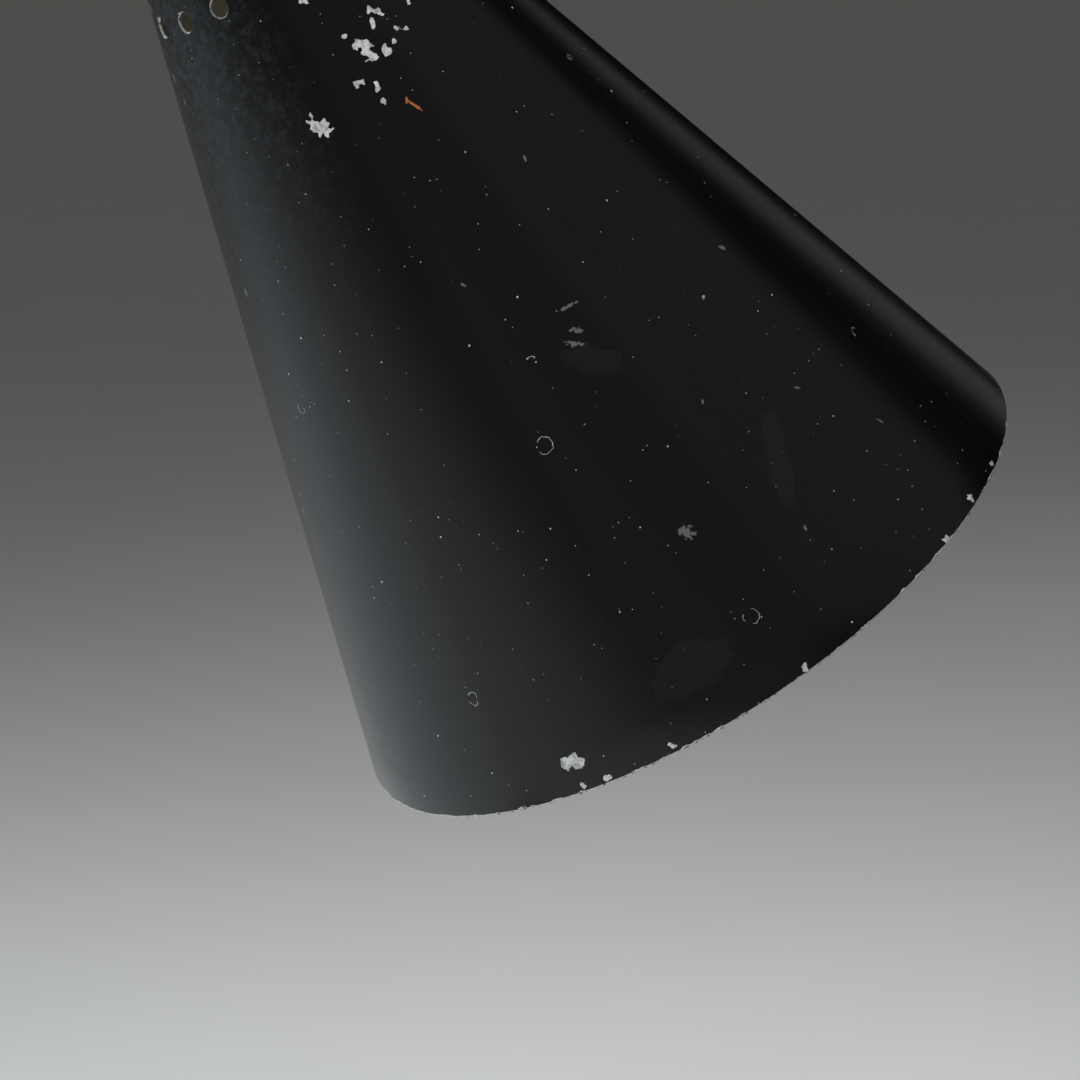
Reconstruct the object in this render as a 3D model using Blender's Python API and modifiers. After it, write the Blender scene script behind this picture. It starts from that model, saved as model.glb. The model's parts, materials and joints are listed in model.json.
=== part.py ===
"""Arc floor lamp: a weighted round base, an upright stem, and a bowed tube that carries a long conical shade.

Metres, +Z up. The origin is the centre of the underside, on the floor. The bow leans towards +X, in the XZ plane.
Both knuckles turn about Y. Their empties, hinge_axis and shade_axis, carry the pieces that they move.
Below each knuckle's empty, local +Z runs from the knuckle out along the piece that it carries.
"""

import math

import bmesh
import bpy
from mathutils import Matrix, Vector

# Sides of the pins and of the holes that they pass through, and how close points are merged
PIN_SIDES = 12
MERGE_DISTANCE = 0.00001

# Clearances
SEAT_GAP = 0.0003
RUN_GAP = 0.0004
SPIGOT_GAP = 0.0006

# Base: an iron disc on felt, under a spun steel cover
FELT_RADIUS = 0.148
FELT_THICKNESS = 0.003
WEIGHT_RADIUS = 0.153
WEIGHT_THICKNESS = 0.031
WEIGHT_FLAT_RADIUS = 0.124
WEIGHT_SIDE_HEIGHT = 0.014
WEIGHT_RECESS_RADIUS = 0.046
WEIGHT_RECESS_DEPTH = 0.0185
CHANNEL_WIDTH = 0.013
CHANNEL_DEPTH = 0.013
COVER_WALL = 0.0012
COLLAR_RADIUS = 0.020
COLLAR_HEIGHT = 0.024
BASE_WASHER_RADIUS = 0.021
BASE_WASHER_THICKNESS = 0.002
BASE_NUT_RADIUS = 0.0175
BASE_NUT_THICKNESS = 0.007
GROMMET_RADIUS = 0.0055
GROMMET_HOLE_RADIUS = 0.0032
GROMMET_LIP = 0.0012
GROMMET_NOSE = 0.00192
TERMINAL_SIZE = (0.014, 0.022, 0.010)
TERMINAL_OFFSET = 0.034
TERMINAL_BORE_RADIUS = 0.0018
TERMINAL_SCREW_RADIUS = 0.0022
TERMINAL_SCREW_HEIGHT = 0.0014

# Foot switch, in a pocket of the iron disc
SWITCH_OFFSET = 0.105
SWITCH_RADIUS = 0.012
SWITCH_DEPTH = 0.022
SWITCH_WALL = 0.0016
SWITCH_FLOOR = 0.003
BUTTON_RADIUS = 0.0078
BUTTON_RISE = 0.008
BUTTON_FLANGE = 0.0012
BUTTON_DOME = 0.0003
BUTTON_EDGE = 0.0015
BEZEL_RADIUS = 0.015
BEZEL_HEIGHT = 0.003
SPRING_RADIUS = 0.0045
SPRING_WIRE_RADIUS = 0.0005
SPRING_TURNS = 4

# Stem
STEM_RADIUS = 0.010
STEM_WALL = 0.0015
STEM_LENGTH = 0.785
LEAD_RADIUS = 0.0018
SOCKET_RADIUS = 0.0135
SOCKET_HEIGHT = 0.022
SOCKET_SPIGOT = 0.030
SWIVEL_RADIUS = 0.006
SWIVEL_LENGTH = 0.040
SWIVEL_WASHER = 0.0010
GROOVE_DEPTH = 0.0012
GROOVE_WIDTH = 0.004
STOP_SCREW_RADIUS = 0.0018
STOP_SCREW_HEAD = 0.0030
STOP_SCREW_HEAD_HEIGHT = 0.0022
STOP_SCREW_HEAD_SIDE = 0.0016
SOCKET_CHAMFER = 0.002

# Knuckle between the stem and the bow
HINGE_BAR_RADIUS = 0.0135
HINGE_BOSS_RADIUS = 0.013
HINGE_FLOOR = 0.006
HINGE_TONGUE = 0.010
HINGE_EAR_SIZE = 0.0052
HINGE_PIN_RADIUS = 0.003
HINGE_NECK_RADIUS = 0.0085
HINGE_NECK_LENGTH = 0.030
HINGE_NECK_TAPER = 0.002
HINGE_BRIDGE = 0.0020
HINGE_HEAD_RADIUS = 0.0075
HINGE_HEAD_HEIGHT = 0.0035
FIBRE_THICKNESS = 0.0008
CLAMP_WASHER_THICKNESS = 0.0012
KNOB_RADIUS = 0.018
KNOB_HEIGHT = 0.015
KNOB_LOBES = 6
KNOB_SCALLOP_RADIUS = 0.0065

# Bow: straight ends, and between them a heading that turns ever faster
ARM_RADIUS = 0.007
ARM_WALL = 0.0012
ARM_STRAIGHT_END = 0.030
ARM_BOW_LENGTH = 1.300
ARM_TURN = math.radians(135.0)
ARM_TURN_GROWTH = 1.3
ARM_POINTS = 32
SPIGOT_LENGTH = 0.022

# Knuckle between the bow and the shade
TIP_BAR_RADIUS = 0.0085
TIP_BOSS_RADIUS = 0.008
TIP_FLOOR = 0.005
TIP_TONGUE = 0.007
TIP_EAR_SIZE = 0.0027
TIP_PIN_RADIUS = 0.002
TIP_NECK_RADIUS = 0.0068
TIP_NECK_LENGTH = 0.018
TIP_BRIDGE = 0.0015
THUMB_RADIUS = 0.007
THUMB_HEIGHT = 0.008

# Shade
SHADE_TILT = math.radians(34.1)
SHADE_HALF_ANGLE = math.radians(17.51)
SHADE_RIM_RADIUS = 0.135
SHADE_TOP_RADIUS = 0.024
SHADE_TOP_FILLET = 0.004
SHADE_WALL = 0.0008
VENT_COUNT = 18
VENT_START = math.radians(-3.2)
VENT_RADIUS = 0.0034
VENT_RING_RADIUS = 0.0481
SHADE_COLLAR_RADIUS = 0.0145
SHADE_COLLAR_HEIGHT = 0.018
SHADE_COLLAR_STEP = 0.001
NIPPLE_RADIUS = 0.005
NIPPLE_BORE_RADIUS = 0.0031
NIPPLE_GRIP = 0.007
INNER_WASHER_RADIUS = 0.015
INNER_WASHER_THICKNESS = 0.0012
LOCK_NUT_RADIUS = 0.0085
LOCK_NUT_THICKNESS = 0.004

# Lampholder and lamp
HOLDER_RADIUS = 0.0195
HOLDER_WALL = 0.0022
HOLDER_CAP_HEIGHT = 0.020
HOLDER_SKIRT_HEIGHT = 0.034
INSERT_THICKNESS = 0.007
THREAD_RADIUS = 0.0140
THREAD_WALL = 0.0006
THREAD_HEIGHT = 0.022
RING_HEIGHT = 0.007
RING_THICKNESS = 0.0022
LAMP_CAP_RADIUS = 0.0130
LAMP_CAP_HEIGHT = 0.024
LAMP_CAP_WALL = 0.0005
LAMP_RADIUS = 0.030
LAMP_LENGTH = 0.104
LAMP_NECK_RADIUS = 0.0118
LAMP_WALL = 0.0009
CONTACT_RADIUS = 0.003
CONTACT_HEIGHT = 0.003

ACROSS = Matrix.Rotation(math.radians(90.0), 4, "X")


def clear_scene():
    for obj in list(bpy.data.objects):
        bpy.data.objects.remove(obj, do_unlink=True)


def add_collection(name, shown):
    collection = bpy.data.collections.new(name)
    bpy.context.scene.collection.children.link(collection)
    collection.hide_render = not shown
    return collection


def add_finish(name, colour, roughness, metallic):
    """A material with one colour, as a Principled BSDF."""
    finish = bpy.data.materials.new(name)
    finish.use_nodes = True
    shader = finish.node_tree.nodes["Principled BSDF"]
    shader.inputs["Base Color"].default_value = (*colour, 1.0)
    shader.inputs["Roughness"].default_value = roughness
    shader.inputs["Metallic"].default_value = metallic
    finish.diffuse_color = (*colour, 1.0)
    return finish


clear_scene()
LAMP = add_collection("arc_floor_lamp", shown=True)
CUTTERS = add_collection("cutters", shown=False)

LACQUER = add_finish("black_lacquer", (0.015, 0.016, 0.018), 0.38, 0.0)
BRASS = add_finish("aged_brass", (0.52, 0.37, 0.15), 0.35, 1.0)
STEEL = add_finish("zinc_plated_steel", (0.55, 0.56, 0.57), 0.4, 1.0)
IRON = add_finish("cast_iron", (0.10, 0.10, 0.10), 0.8, 0.6)
FELT = add_finish("green_felt", (0.03, 0.07, 0.04), 0.95, 0.0)
RUBBER = add_finish("black_rubber", (0.02, 0.02, 0.02), 0.8, 0.0)
BAKELITE = add_finish("black_bakelite", (0.02, 0.017, 0.015), 0.3, 0.0)
FIBRE = add_finish("red_fibre", (0.30, 0.09, 0.05), 0.8, 0.0)
PORCELAIN = add_finish("porcelain", (0.80, 0.79, 0.74), 0.25, 0.0)
LEAD = add_finish("lead_sheath", (0.05, 0.045, 0.04), 0.6, 0.0)
OPAL = add_finish("opal_glass", (0.90, 0.89, 0.86), 0.2, 0.0)


def add_empty(name, place):
    """An axis that pieces are parented to, standing where the matrix says."""
    empty = bpy.data.objects.new(name, None)
    empty.empty_display_size = 0.03
    empty.matrix_world = place
    LAMP.objects.link(empty)
    return empty


def add_object(name, mesh, finish, parent):
    """A piece of the lamp, or with no finish a cutter, placed on its parent's axes."""
    obj = bpy.data.objects.new(name, mesh)
    if finish is None:
        CUTTERS.objects.link(obj)
        obj.hide_render = True
        obj.display_type = "WIRE"
    else:
        LAMP.objects.link(obj)
        mesh.materials.append(finish)
    obj.parent = parent
    return obj


def turned(name, outline, finish, parent, sides=16, wall=0.0):
    """Turns (radius, height) points about Z. They run down the outer side.

    An outline that starts on the axis makes a solid piece, a loop makes one with a bore, and a wall makes a shell
    whose outer skin is the outline."""
    mesh = bpy.data.meshes.new(name)
    points = [(radius, 0.0, height) for radius, height in outline]
    edges = [(i, i + 1) for i in range(len(points) - 1)]
    if wall == 0.0 and outline[0][0] > 0.0:
        edges.append((len(points) - 1, 0))
    mesh.from_pydata(points, edges, [])
    obj = add_object(name, mesh, finish, parent)
    screw = obj.modifiers.new("Turn", "SCREW")
    screw.steps = sides
    screw.render_steps = sides
    screw.use_merge_vertices = True
    screw.merge_threshold = MERGE_DISTANCE
    if wall:
        shell = obj.modifiers.new("Wall", "SOLIDIFY")
        shell.thickness = wall
        shell.offset = -1.0
        shell.use_even_offset = True
    return obj


def ring(name, outer, inner, low, high, finish, parent, sides=16):
    """A washer, sleeve or tube between two heights."""
    outline = [(outer, high), (outer, low), (inner, low), (inner, high)]
    return turned(name, outline, finish, parent, sides)


def rods(name, radius, length, places, finish, parent, sides=16):
    """One or more round bars along the Z of each place, as one mesh."""
    shape = bmesh.new()
    for place in places:
        bmesh.ops.create_cone(
            shape, cap_ends=True, segments=sides, radius1=radius, radius2=radius, depth=length, matrix=place
        )
    mesh = bpy.data.meshes.new(name)
    shape.to_mesh(mesh)
    shape.free()
    return add_object(name, mesh, finish, parent)


def block(name, low, high, finish, parent):
    """A box between two corners."""
    size = Vector(high) - Vector(low)
    middle = (Vector(high) + Vector(low)) / 2.0
    shape = bmesh.new()
    bmesh.ops.create_cube(shape, size=1.0, matrix=Matrix.LocRotScale(middle, None, size))
    mesh = bpy.data.meshes.new(name)
    shape.to_mesh(mesh)
    shape.free()
    return add_object(name, mesh, finish, parent)


def plate(name, outline, thickness, finish, parent):
    """A flat outline in XZ, with its thickness centred across Y."""
    curve = bpy.data.curves.new(name, "CURVE")
    curve.dimensions = "2D"
    curve.fill_mode = "BOTH"
    curve.extrude = thickness / 2.0
    spline = curve.splines.new("POLY")
    spline.points.add(len(outline) - 1)
    for point, (x, z) in zip(spline.points, outline):
        point.co = (x, z, 0.0, 1.0)
    spline.use_cyclic_u = True
    flat = bpy.data.objects.new(name + "_outline", curve)
    LAMP.objects.link(flat)
    bpy.context.view_layer.update()
    mesh = bpy.data.meshes.new_from_object(flat.evaluated_get(bpy.context.evaluated_depsgraph_get()))
    bpy.data.objects.remove(flat)
    shape = bmesh.new()
    shape.from_mesh(mesh)
    bmesh.ops.remove_doubles(shape, verts=shape.verts, dist=MERGE_DISTANCE)
    shape.transform(ACROSS)
    shape.to_mesh(mesh)
    shape.free()
    mesh.materials.clear()
    mesh.name = name
    return add_object(name, mesh, finish, parent)


def wire(name, points, radius, finish, parent, resolution=2, wall=0.0):
    """A round wire through the points, or with a wall an open tube."""
    curve = bpy.data.curves.new(name, "CURVE")
    curve.dimensions = "3D"
    curve.bevel_depth = radius
    curve.bevel_resolution = resolution
    curve.use_fill_caps = wall == 0.0
    spline = curve.splines.new("POLY")
    spline.points.add(len(points) - 1)
    for point, place in zip(spline.points, points):
        point.co = (*place, 1.0)
    obj = add_object(name, curve, finish, parent)
    if wall:
        shell = obj.modifiers.new("Wall", "SOLIDIFY")
        shell.thickness = wall
        shell.offset = -1.0
        shell.use_even_offset = True
    return obj


def combine(obj, other, operation):
    """A Boolean with a mesh from the cutters' collection."""
    modifier = obj.modifiers.new(other.name, "BOOLEAN")
    modifier.operation = operation
    modifier.solver = "EXACT"
    modifier.object = other


def arc(centre, radii, start, end, steps):
    """Points on an ellipse's arc, from one angle to another."""
    angles = [start + (end - start) * i / steps for i in range(steps + 1)]
    return [(centre[0] + radii[0] * math.cos(a), centre[1] + radii[1] * math.sin(a)) for a in angles]


# ---------------------------------------------------------------- base
FLOOR = add_empty("floor_centre", Matrix.Identity(4))

weight_low = FELT_THICKNESS + SEAT_GAP
weight_top = weight_low + WEIGHT_THICKNESS
cover_gap = SEAT_GAP
cover_radius = WEIGHT_RADIUS + cover_gap + COVER_WALL
cover_top = weight_top + cover_gap + COVER_WALL
recess_ceiling = weight_low + WEIGHT_RECESS_DEPTH
stem_bore = STEM_RADIUS + SEAT_GAP


def base_outline(radius, top, side_height):
    """The flat top's edge, rolled over to an upright side, from the flat's edge outwards."""
    roll = radius - WEIGHT_FLAT_RADIUS
    return arc((WEIGHT_FLAT_RADIUS, side_height), (roll, top - side_height), math.pi / 2.0, 0.0, 4)


turned(
    "base_felt",
    [(0.0, FELT_THICKNESS), (FELT_RADIUS, FELT_THICKNESS), (FELT_RADIUS, 0.0), (0.0, 0.0)],
    FELT, FLOOR, sides=48,
)

weight_side = weight_low + WEIGHT_SIDE_HEIGHT
base_weight = turned(
    "base_weight",
    [
        (stem_bore, weight_top),
        *base_outline(WEIGHT_RADIUS, weight_top, weight_side),
        (WEIGHT_RADIUS, weight_low),
        (WEIGHT_RECESS_RADIUS, weight_low),
        (WEIGHT_RECESS_RADIUS, recess_ceiling),
        (stem_bore, recess_ceiling),
    ],
    IRON, FLOOR, sides=48,
)
channel_top = weight_low + CHANNEL_DEPTH
channel_start = WEIGHT_RECESS_RADIUS * 0.8
inlet_channel = block(
    "inlet_channel",
    (-WEIGHT_RADIUS * 1.1, -CHANNEL_WIDTH / 2.0, 0.0), (-channel_start, CHANNEL_WIDTH / 2.0, channel_top),
    None, FLOOR,
)
switch_channel = block(
    "switch_channel",
    (-CHANNEL_WIDTH / 2.0, -SWITCH_OFFSET, 0.0), (CHANNEL_WIDTH / 2.0, -channel_start, channel_top),
    None, FLOOR,
)
switch_place = Matrix.Translation((0.0, -SWITCH_OFFSET, weight_top))
switch_pocket = rods(
    "switch_pocket", SWITCH_RADIUS + RUN_GAP, 3.0 * WEIGHT_THICKNESS, [switch_place], None, FLOOR, sides=16
)
for pocket in (inlet_channel, switch_channel, switch_pocket):
    combine(base_weight, pocket, "DIFFERENCE")

base_cover = turned(
    "base_cover",
    [
        (stem_bore, cover_top),
        *base_outline(cover_radius, cover_top, weight_side),
        (cover_radius, weight_low),
    ],
    LACQUER, FLOOR, sides=48, wall=COVER_WALL,
)
bezel_neck_radius = BUTTON_RADIUS + 2.0 * RUN_GAP + SWITCH_WALL
cover_hole = rods(
    "cover_hole", bezel_neck_radius + RUN_GAP, 3.0 * WEIGHT_THICKNESS, [switch_place], None, FLOOR, sides=16
)
grommet_height = weight_low + CHANNEL_DEPTH / 2.0
outwards = Matrix.Rotation(-math.pi / 2.0, 4, "Y")
grommet_place = Matrix.Translation((-cover_radius, 0.0, grommet_height)) @ outwards
grommet_hole = rods(
    "grommet_hole", GROMMET_RADIUS - GROMMET_LIP, 8.0 * COVER_WALL, [grommet_place], None, FLOOR, sides=16
)
for hole in (cover_hole, grommet_hole):
    combine(base_cover, hole, "DIFFERENCE")

GROMMET = add_empty("grommet_axis", grommet_place)
grommet_neck = GROMMET_RADIUS - GROMMET_LIP - SEAT_GAP
outer_lip = 2.0 * SEAT_GAP
inner_lip = -COVER_WALL - 2.0 * SEAT_GAP
turned(
    "cord_grommet",
    [
        (grommet_neck, outer_lip + GROMMET_NOSE),
        (GROMMET_RADIUS, outer_lip + GROMMET_LIP),
        (GROMMET_RADIUS, outer_lip),
        (grommet_neck, outer_lip),
        (grommet_neck, inner_lip),
        (GROMMET_RADIUS, inner_lip),
        (GROMMET_RADIUS, inner_lip - GROMMET_LIP),
        (GROMMET_HOLE_RADIUS, inner_lip - GROMMET_LIP),
        (GROMMET_HOLE_RADIUS, outer_lip + GROMMET_NOSE),
    ],
    RUBBER, GROMMET, sides=16,
)

# ---------------------------------------------------------------- stem and what clamps it to the base
washer_top = recess_ceiling - SEAT_GAP
washer_low = washer_top - BASE_WASHER_THICKNESS
nut_top = washer_low - SEAT_GAP
nut_low = nut_top - BASE_NUT_THICKNESS
stem_low = nut_low - SEAT_GAP
stem_top = stem_low + STEM_LENGTH
stem_inside = STEM_RADIUS - STEM_WALL

ring("base_washer", BASE_WASHER_RADIUS, stem_bore, washer_low, washer_top, STEEL, FLOOR)
base_nut = rods(
    "base_nut", BASE_NUT_RADIUS, BASE_NUT_THICKNESS, [Matrix.Translation((0.0, 0.0, (nut_top + nut_low) / 2.0))],
    STEEL, FLOOR, sides=6,
)
nut_bore = rods(
    "nut_bore", stem_bore, 4.0 * BASE_NUT_THICKNESS, [Matrix.Translation((0.0, 0.0, nut_top))], None, FLOOR
)
combine(base_nut, nut_bore, "DIFFERENCE")

collar_low = cover_top + SEAT_GAP
turned(
    "base_collar",
    [
        (STEM_RADIUS + COVER_WALL, collar_low + COLLAR_HEIGHT),
        (STEM_RADIUS + 2.0 * COVER_WALL, collar_low + COLLAR_HEIGHT * 0.9),
        (STEM_RADIUS + 2.5 * COVER_WALL, collar_low + COLLAR_HEIGHT * 0.45),
        (COLLAR_RADIUS, collar_low + COLLAR_HEIGHT * 0.2),
        (COLLAR_RADIUS, collar_low),
        (stem_bore, collar_low),
        (stem_bore, collar_low + COLLAR_HEIGHT),
    ],
    BRASS, FLOOR, sides=24,
)
ring("stem_tube", STEM_RADIUS, stem_inside, stem_low, stem_top, BRASS, FLOOR)

# ---------------------------------------------------------------- terminal block and the stem's lead
terminal_low = FELT_THICKNESS + SEAT_GAP
terminal_x, terminal_y, terminal_z = TERMINAL_SIZE
terminal_middle = terminal_low + terminal_z / 2.0
terminal_block = block(
    "terminal_block",
    (-TERMINAL_OFFSET - terminal_x / 2.0, -terminal_y / 2.0, terminal_low),
    (-TERMINAL_OFFSET + terminal_x / 2.0, terminal_y / 2.0, terminal_low + terminal_z),
    PORCELAIN, FLOOR,
)
pole_places = [-terminal_y / 4.0, terminal_y / 4.0]
terminal_bores = rods(
    "terminal_bores", TERMINAL_BORE_RADIUS, 2.0 * terminal_x,
    [
        Matrix.Translation((-TERMINAL_OFFSET, y, terminal_middle)) @ Matrix.Rotation(math.pi / 2.0, 4, "Y")
        for y in pole_places
    ],
    None, FLOOR, sides=12,
)
combine(terminal_block, terminal_bores, "DIFFERENCE")
screw_low = terminal_low + terminal_z + SEAT_GAP
for number, y in enumerate(pole_places, 1):
    rods(
        f"terminal_screw_{number}", TERMINAL_SCREW_RADIUS, TERMINAL_SCREW_HEIGHT,
        [Matrix.Translation((-TERMINAL_OFFSET, y, screw_low + TERMINAL_SCREW_HEIGHT / 2.0))],
        BRASS, FLOOR, sides=12,
    )

# The knuckle's places, which the leads need too
socket_top = stem_top + SEAT_GAP + SOCKET_HEIGHT
fork_seat = socket_top + SEAT_GAP + SWIVEL_WASHER + SEAT_GAP
hinge_slot_depth = HINGE_BOSS_RADIUS + 2.0 * RUN_GAP
hinge_height = fork_seat + HINGE_FLOOR + hinge_slot_depth
lead_height = terminal_low + LEAD_RADIUS + SEAT_GAP
lead_bend = stem_inside
lead_start = -TERMINAL_OFFSET + terminal_x / 2.0 + SEAT_GAP
lead_top = hinge_height - hinge_slot_depth - SEAT_GAP
lead_bend_points = arc((-lead_bend, lead_height + lead_bend), (lead_bend, lead_bend), -math.pi / 2.0, 0.0, 6)
wire(
    "stem_lead",
    [(lead_start, 0.0, lead_height), *[(x, 0.0, z) for x, z in lead_bend_points], (0.0, 0.0, lead_top)],
    LEAD_RADIUS, LEAD, FLOOR,
)

# ---------------------------------------------------------------- foot switch
SWITCH = add_empty("switch_axis", Matrix.Translation((0.0, -SWITCH_OFFSET, 0.0)))
housing_top = cover_top - COVER_WALL - SEAT_GAP
housing_low = housing_top - SWITCH_DEPTH
turned(
    "switch_housing",
    [
        (0.0, housing_low + SWITCH_FLOOR),
        (SWITCH_RADIUS - SWITCH_WALL, housing_low + SWITCH_FLOOR),
        (SWITCH_RADIUS - SWITCH_WALL, housing_top),
        (SWITCH_RADIUS, housing_top),
        (SWITCH_RADIUS, housing_low),
        (0.0, housing_low),
    ],
    BAKELITE, SWITCH,
)
flange_radius = SWITCH_RADIUS - SWITCH_WALL - RUN_GAP
bezel_low = housing_top + SEAT_GAP
bezel_bore = BUTTON_RADIUS + RUN_GAP
turned(
    "switch_bezel",
    [
        (BEZEL_RADIUS * 0.86, cover_top + SEAT_GAP + BEZEL_HEIGHT),
        (BEZEL_RADIUS, cover_top + SEAT_GAP + BEZEL_HEIGHT * 0.45),
        (BEZEL_RADIUS, cover_top + SEAT_GAP),
        (bezel_neck_radius, cover_top + SEAT_GAP),
        (bezel_neck_radius, bezel_low),
        (bezel_bore, bezel_low),
        (bezel_bore, cover_top + SEAT_GAP + BEZEL_HEIGHT),
    ],
    BRASS, SWITCH,
)
flange_top = housing_top - RUN_GAP
flange_low = flange_top - BUTTON_FLANGE
button_top = cover_top + BUTTON_RISE
turned(
    "switch_button",
    [
        (0.0, button_top),
        (BUTTON_RADIUS * 0.6, button_top - BUTTON_DOME),
        (BUTTON_RADIUS, button_top - BUTTON_EDGE),
        (BUTTON_RADIUS, flange_top),
        (flange_radius, flange_top),
        (flange_radius, flange_low),
        (0.0, flange_low),
    ],
    BAKELITE, SWITCH,
)
spring_low = housing_low + SWITCH_FLOOR + SPRING_WIRE_RADIUS + SEAT_GAP
spring_high = flange_low - SPRING_WIRE_RADIUS - SEAT_GAP
coil_steps = 8 * SPRING_TURNS
wire(
    "switch_spring",
    [
        (
            SPRING_RADIUS * math.cos(math.tau * SPRING_TURNS * i / coil_steps),
            SPRING_RADIUS * math.sin(math.tau * SPRING_TURNS * i / coil_steps),
            spring_low + (spring_high - spring_low) * i / coil_steps,
        )
        for i in range(coil_steps + 1)
    ],
    SPRING_WIRE_RADIUS, STEEL, SWITCH, resolution=1,
)

# ---------------------------------------------------------------- swivel on top of the stem
SWIVEL = add_empty("swivel_axis", Matrix.Translation((0.0, 0.0, stem_top)))
swivel_bore = SWIVEL_RADIUS + RUN_GAP
socket_base = SEAT_GAP
swivel_socket = turned(
    "swivel_socket",
    [
        (SOCKET_RADIUS, socket_base + SOCKET_HEIGHT),
        (SOCKET_RADIUS, socket_base + SOCKET_CHAMFER),
        (SOCKET_RADIUS - SOCKET_CHAMFER, socket_base),
        (stem_inside - SEAT_GAP, socket_base),
        (stem_inside - SEAT_GAP, -SOCKET_SPIGOT),
        (swivel_bore, -SOCKET_SPIGOT),
        (swivel_bore, socket_base + SOCKET_HEIGHT),
    ],
    BRASS, SWIVEL,
)
stop_height = socket_base + SOCKET_HEIGHT / 2.0
stop_turn = Matrix.Rotation(-math.pi / 2.0, 4, "Y")
screw_bore = rods(
    "stop_screw_bore", STOP_SCREW_RADIUS + SEAT_GAP, 2.0 * SOCKET_RADIUS,
    [Matrix.Translation((-SOCKET_RADIUS, 0.0, stop_height)) @ stop_turn], None, SWIVEL, sides=12,
)
combine(swivel_socket, screw_bore, "DIFFERENCE")
STOP = add_empty("stop_screw_axis", SWIVEL.matrix_world @ Matrix.Translation((0.0, 0.0, stop_height)) @ stop_turn)
stop_tip = SWIVEL_RADIUS - GROOVE_DEPTH + SEAT_GAP
turned(
    "swivel_stop_screw",
    [
        (0.0, SOCKET_RADIUS + SEAT_GAP + STOP_SCREW_HEAD_HEIGHT),
        (STOP_SCREW_HEAD, SOCKET_RADIUS + SEAT_GAP + STOP_SCREW_HEAD_SIDE),
        (STOP_SCREW_HEAD, SOCKET_RADIUS + SEAT_GAP),
        (STOP_SCREW_RADIUS, SOCKET_RADIUS + SEAT_GAP),
        (STOP_SCREW_RADIUS, stop_tip),
        (0.0, stop_tip),
    ],
    STEEL, STOP, sides=12,
)

# ---------------------------------------------------------------- knuckles
HINGE = add_empty("hinge_axis", Matrix.Translation((0.0, 0.0, hinge_height)))
lead_bore = LEAD_RADIUS + RUN_GAP
fork_low = -hinge_slot_depth - HINGE_FLOOR
spigot_radius = ARM_RADIUS - ARM_WALL - SPIGOT_GAP


def slot_half(tongue):
    """Half of a fork's slot: half the tongue, and a fibre washer with its gaps."""
    return tongue / 2.0 + SEAT_GAP + FIBRE_THICKNESS + SEAT_GAP


def fork(name, parent, bar_radius, boss_radius, slot, ear, slot_depth, shank, pin_radius):
    """A fork turned from round bar, with its shank below, then milled: a slot, flats, and ears round about the pin."""
    shank_low = shank[-1][1]
    long = 4.0 * bar_radius
    piece = turned(
        name,
        [(0.0, bar_radius * 1.2), (bar_radius, bar_radius * 1.2), (bar_radius, shank[0][1]), *shank, (0.0, shank_low)],
        BRASS, parent, sides=24,
    )
    round_ends = plate(
        name + "_round_ends",
        [
            *arc((0.0, 0.0), (boss_radius, boss_radius), 0.0, math.pi, 10),
            (-long, -boss_radius), (-long, shank_low - long), (long, shank_low - long), (long, -boss_radius),
        ],
        long, None, parent,
    )
    combine(piece, round_ends, "INTERSECT")
    flat = slot + ear
    cutters = [
        block(name + "_slot", (-long, -slot, -slot_depth), (long, slot, long), None, parent),
        block(name + "_front_flat", (-long, -long, -0.9 * boss_radius), (long, -flat, long), None, parent),
        block(name + "_back_flat", (-long, flat, -0.9 * boss_radius), (long, long, long), None, parent),
        rods(name + "_pin_hole", pin_radius + RUN_GAP, long, [ACROSS], None, parent, sides=PIN_SIDES),
        rods(
            name + "_lead_hole", lead_bore, 2.0 * (long - shank_low),
            [Matrix.Translation((0.0, 0.0, shank_low - long))], None, parent, sides=12,
        ),
    ]
    for cutter in cutters:
        combine(piece, cutter, "DIFFERENCE")
    return piece


def tongue(name, parent, boss_radius, thickness, neck_outline, pin_radius, bridge):
    """A flat round boss on the pin, joined to a turned neck. The lead passes behind the pin in a groove."""
    neck_radius, neck_low = neck_outline[-1]
    half_width = math.sqrt(neck_radius**2 - (thickness / 2.0) ** 2) - SEAT_GAP
    corner = math.asin(half_width / boss_radius)
    reach = (neck_low + neck_outline[-2][1]) / 2.0
    piece = plate(
        name,
        [
            *arc((0.0, 0.0), (boss_radius, boss_radius), math.pi / 2.0 + corner, 2.5 * math.pi - corner, 14),
            (half_width, reach),
            (-half_width, reach),
        ],
        thickness, BRASS, parent,
    )
    neck = turned(name + "_neck", [(0.0, neck_outline[0][1]), *neck_outline, (0.0, neck_low)], None, parent, 24)
    combine(piece, neck, "UNION")
    behind = -(pin_radius + RUN_GAP + bridge)
    long = 3.0 * boss_radius
    window_low = pin_radius + RUN_GAP + bridge
    cutters = [
        rods(name + "_pin_hole", pin_radius + RUN_GAP, 2.0 * thickness, [ACROSS], None, parent, sides=PIN_SIDES),
        rods(
            name + "_lead_hole", lead_bore, 4.0 * long, [Matrix.Translation((0.0, 0.0, window_low + 2.0 * long))],
            None, parent, sides=12,
        ),
        block(name + "_window", (-long, -lead_bore, window_low), (0.0, lead_bore, neck_low), None, parent),
        block(name + "_groove", (-long, -lead_bore, -long), (behind, lead_bore, neck_low * 0.98), None, parent),
    ]
    for cutter in cutters:
        combine(piece, cutter, "DIFFERENCE")
    return piece


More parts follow.
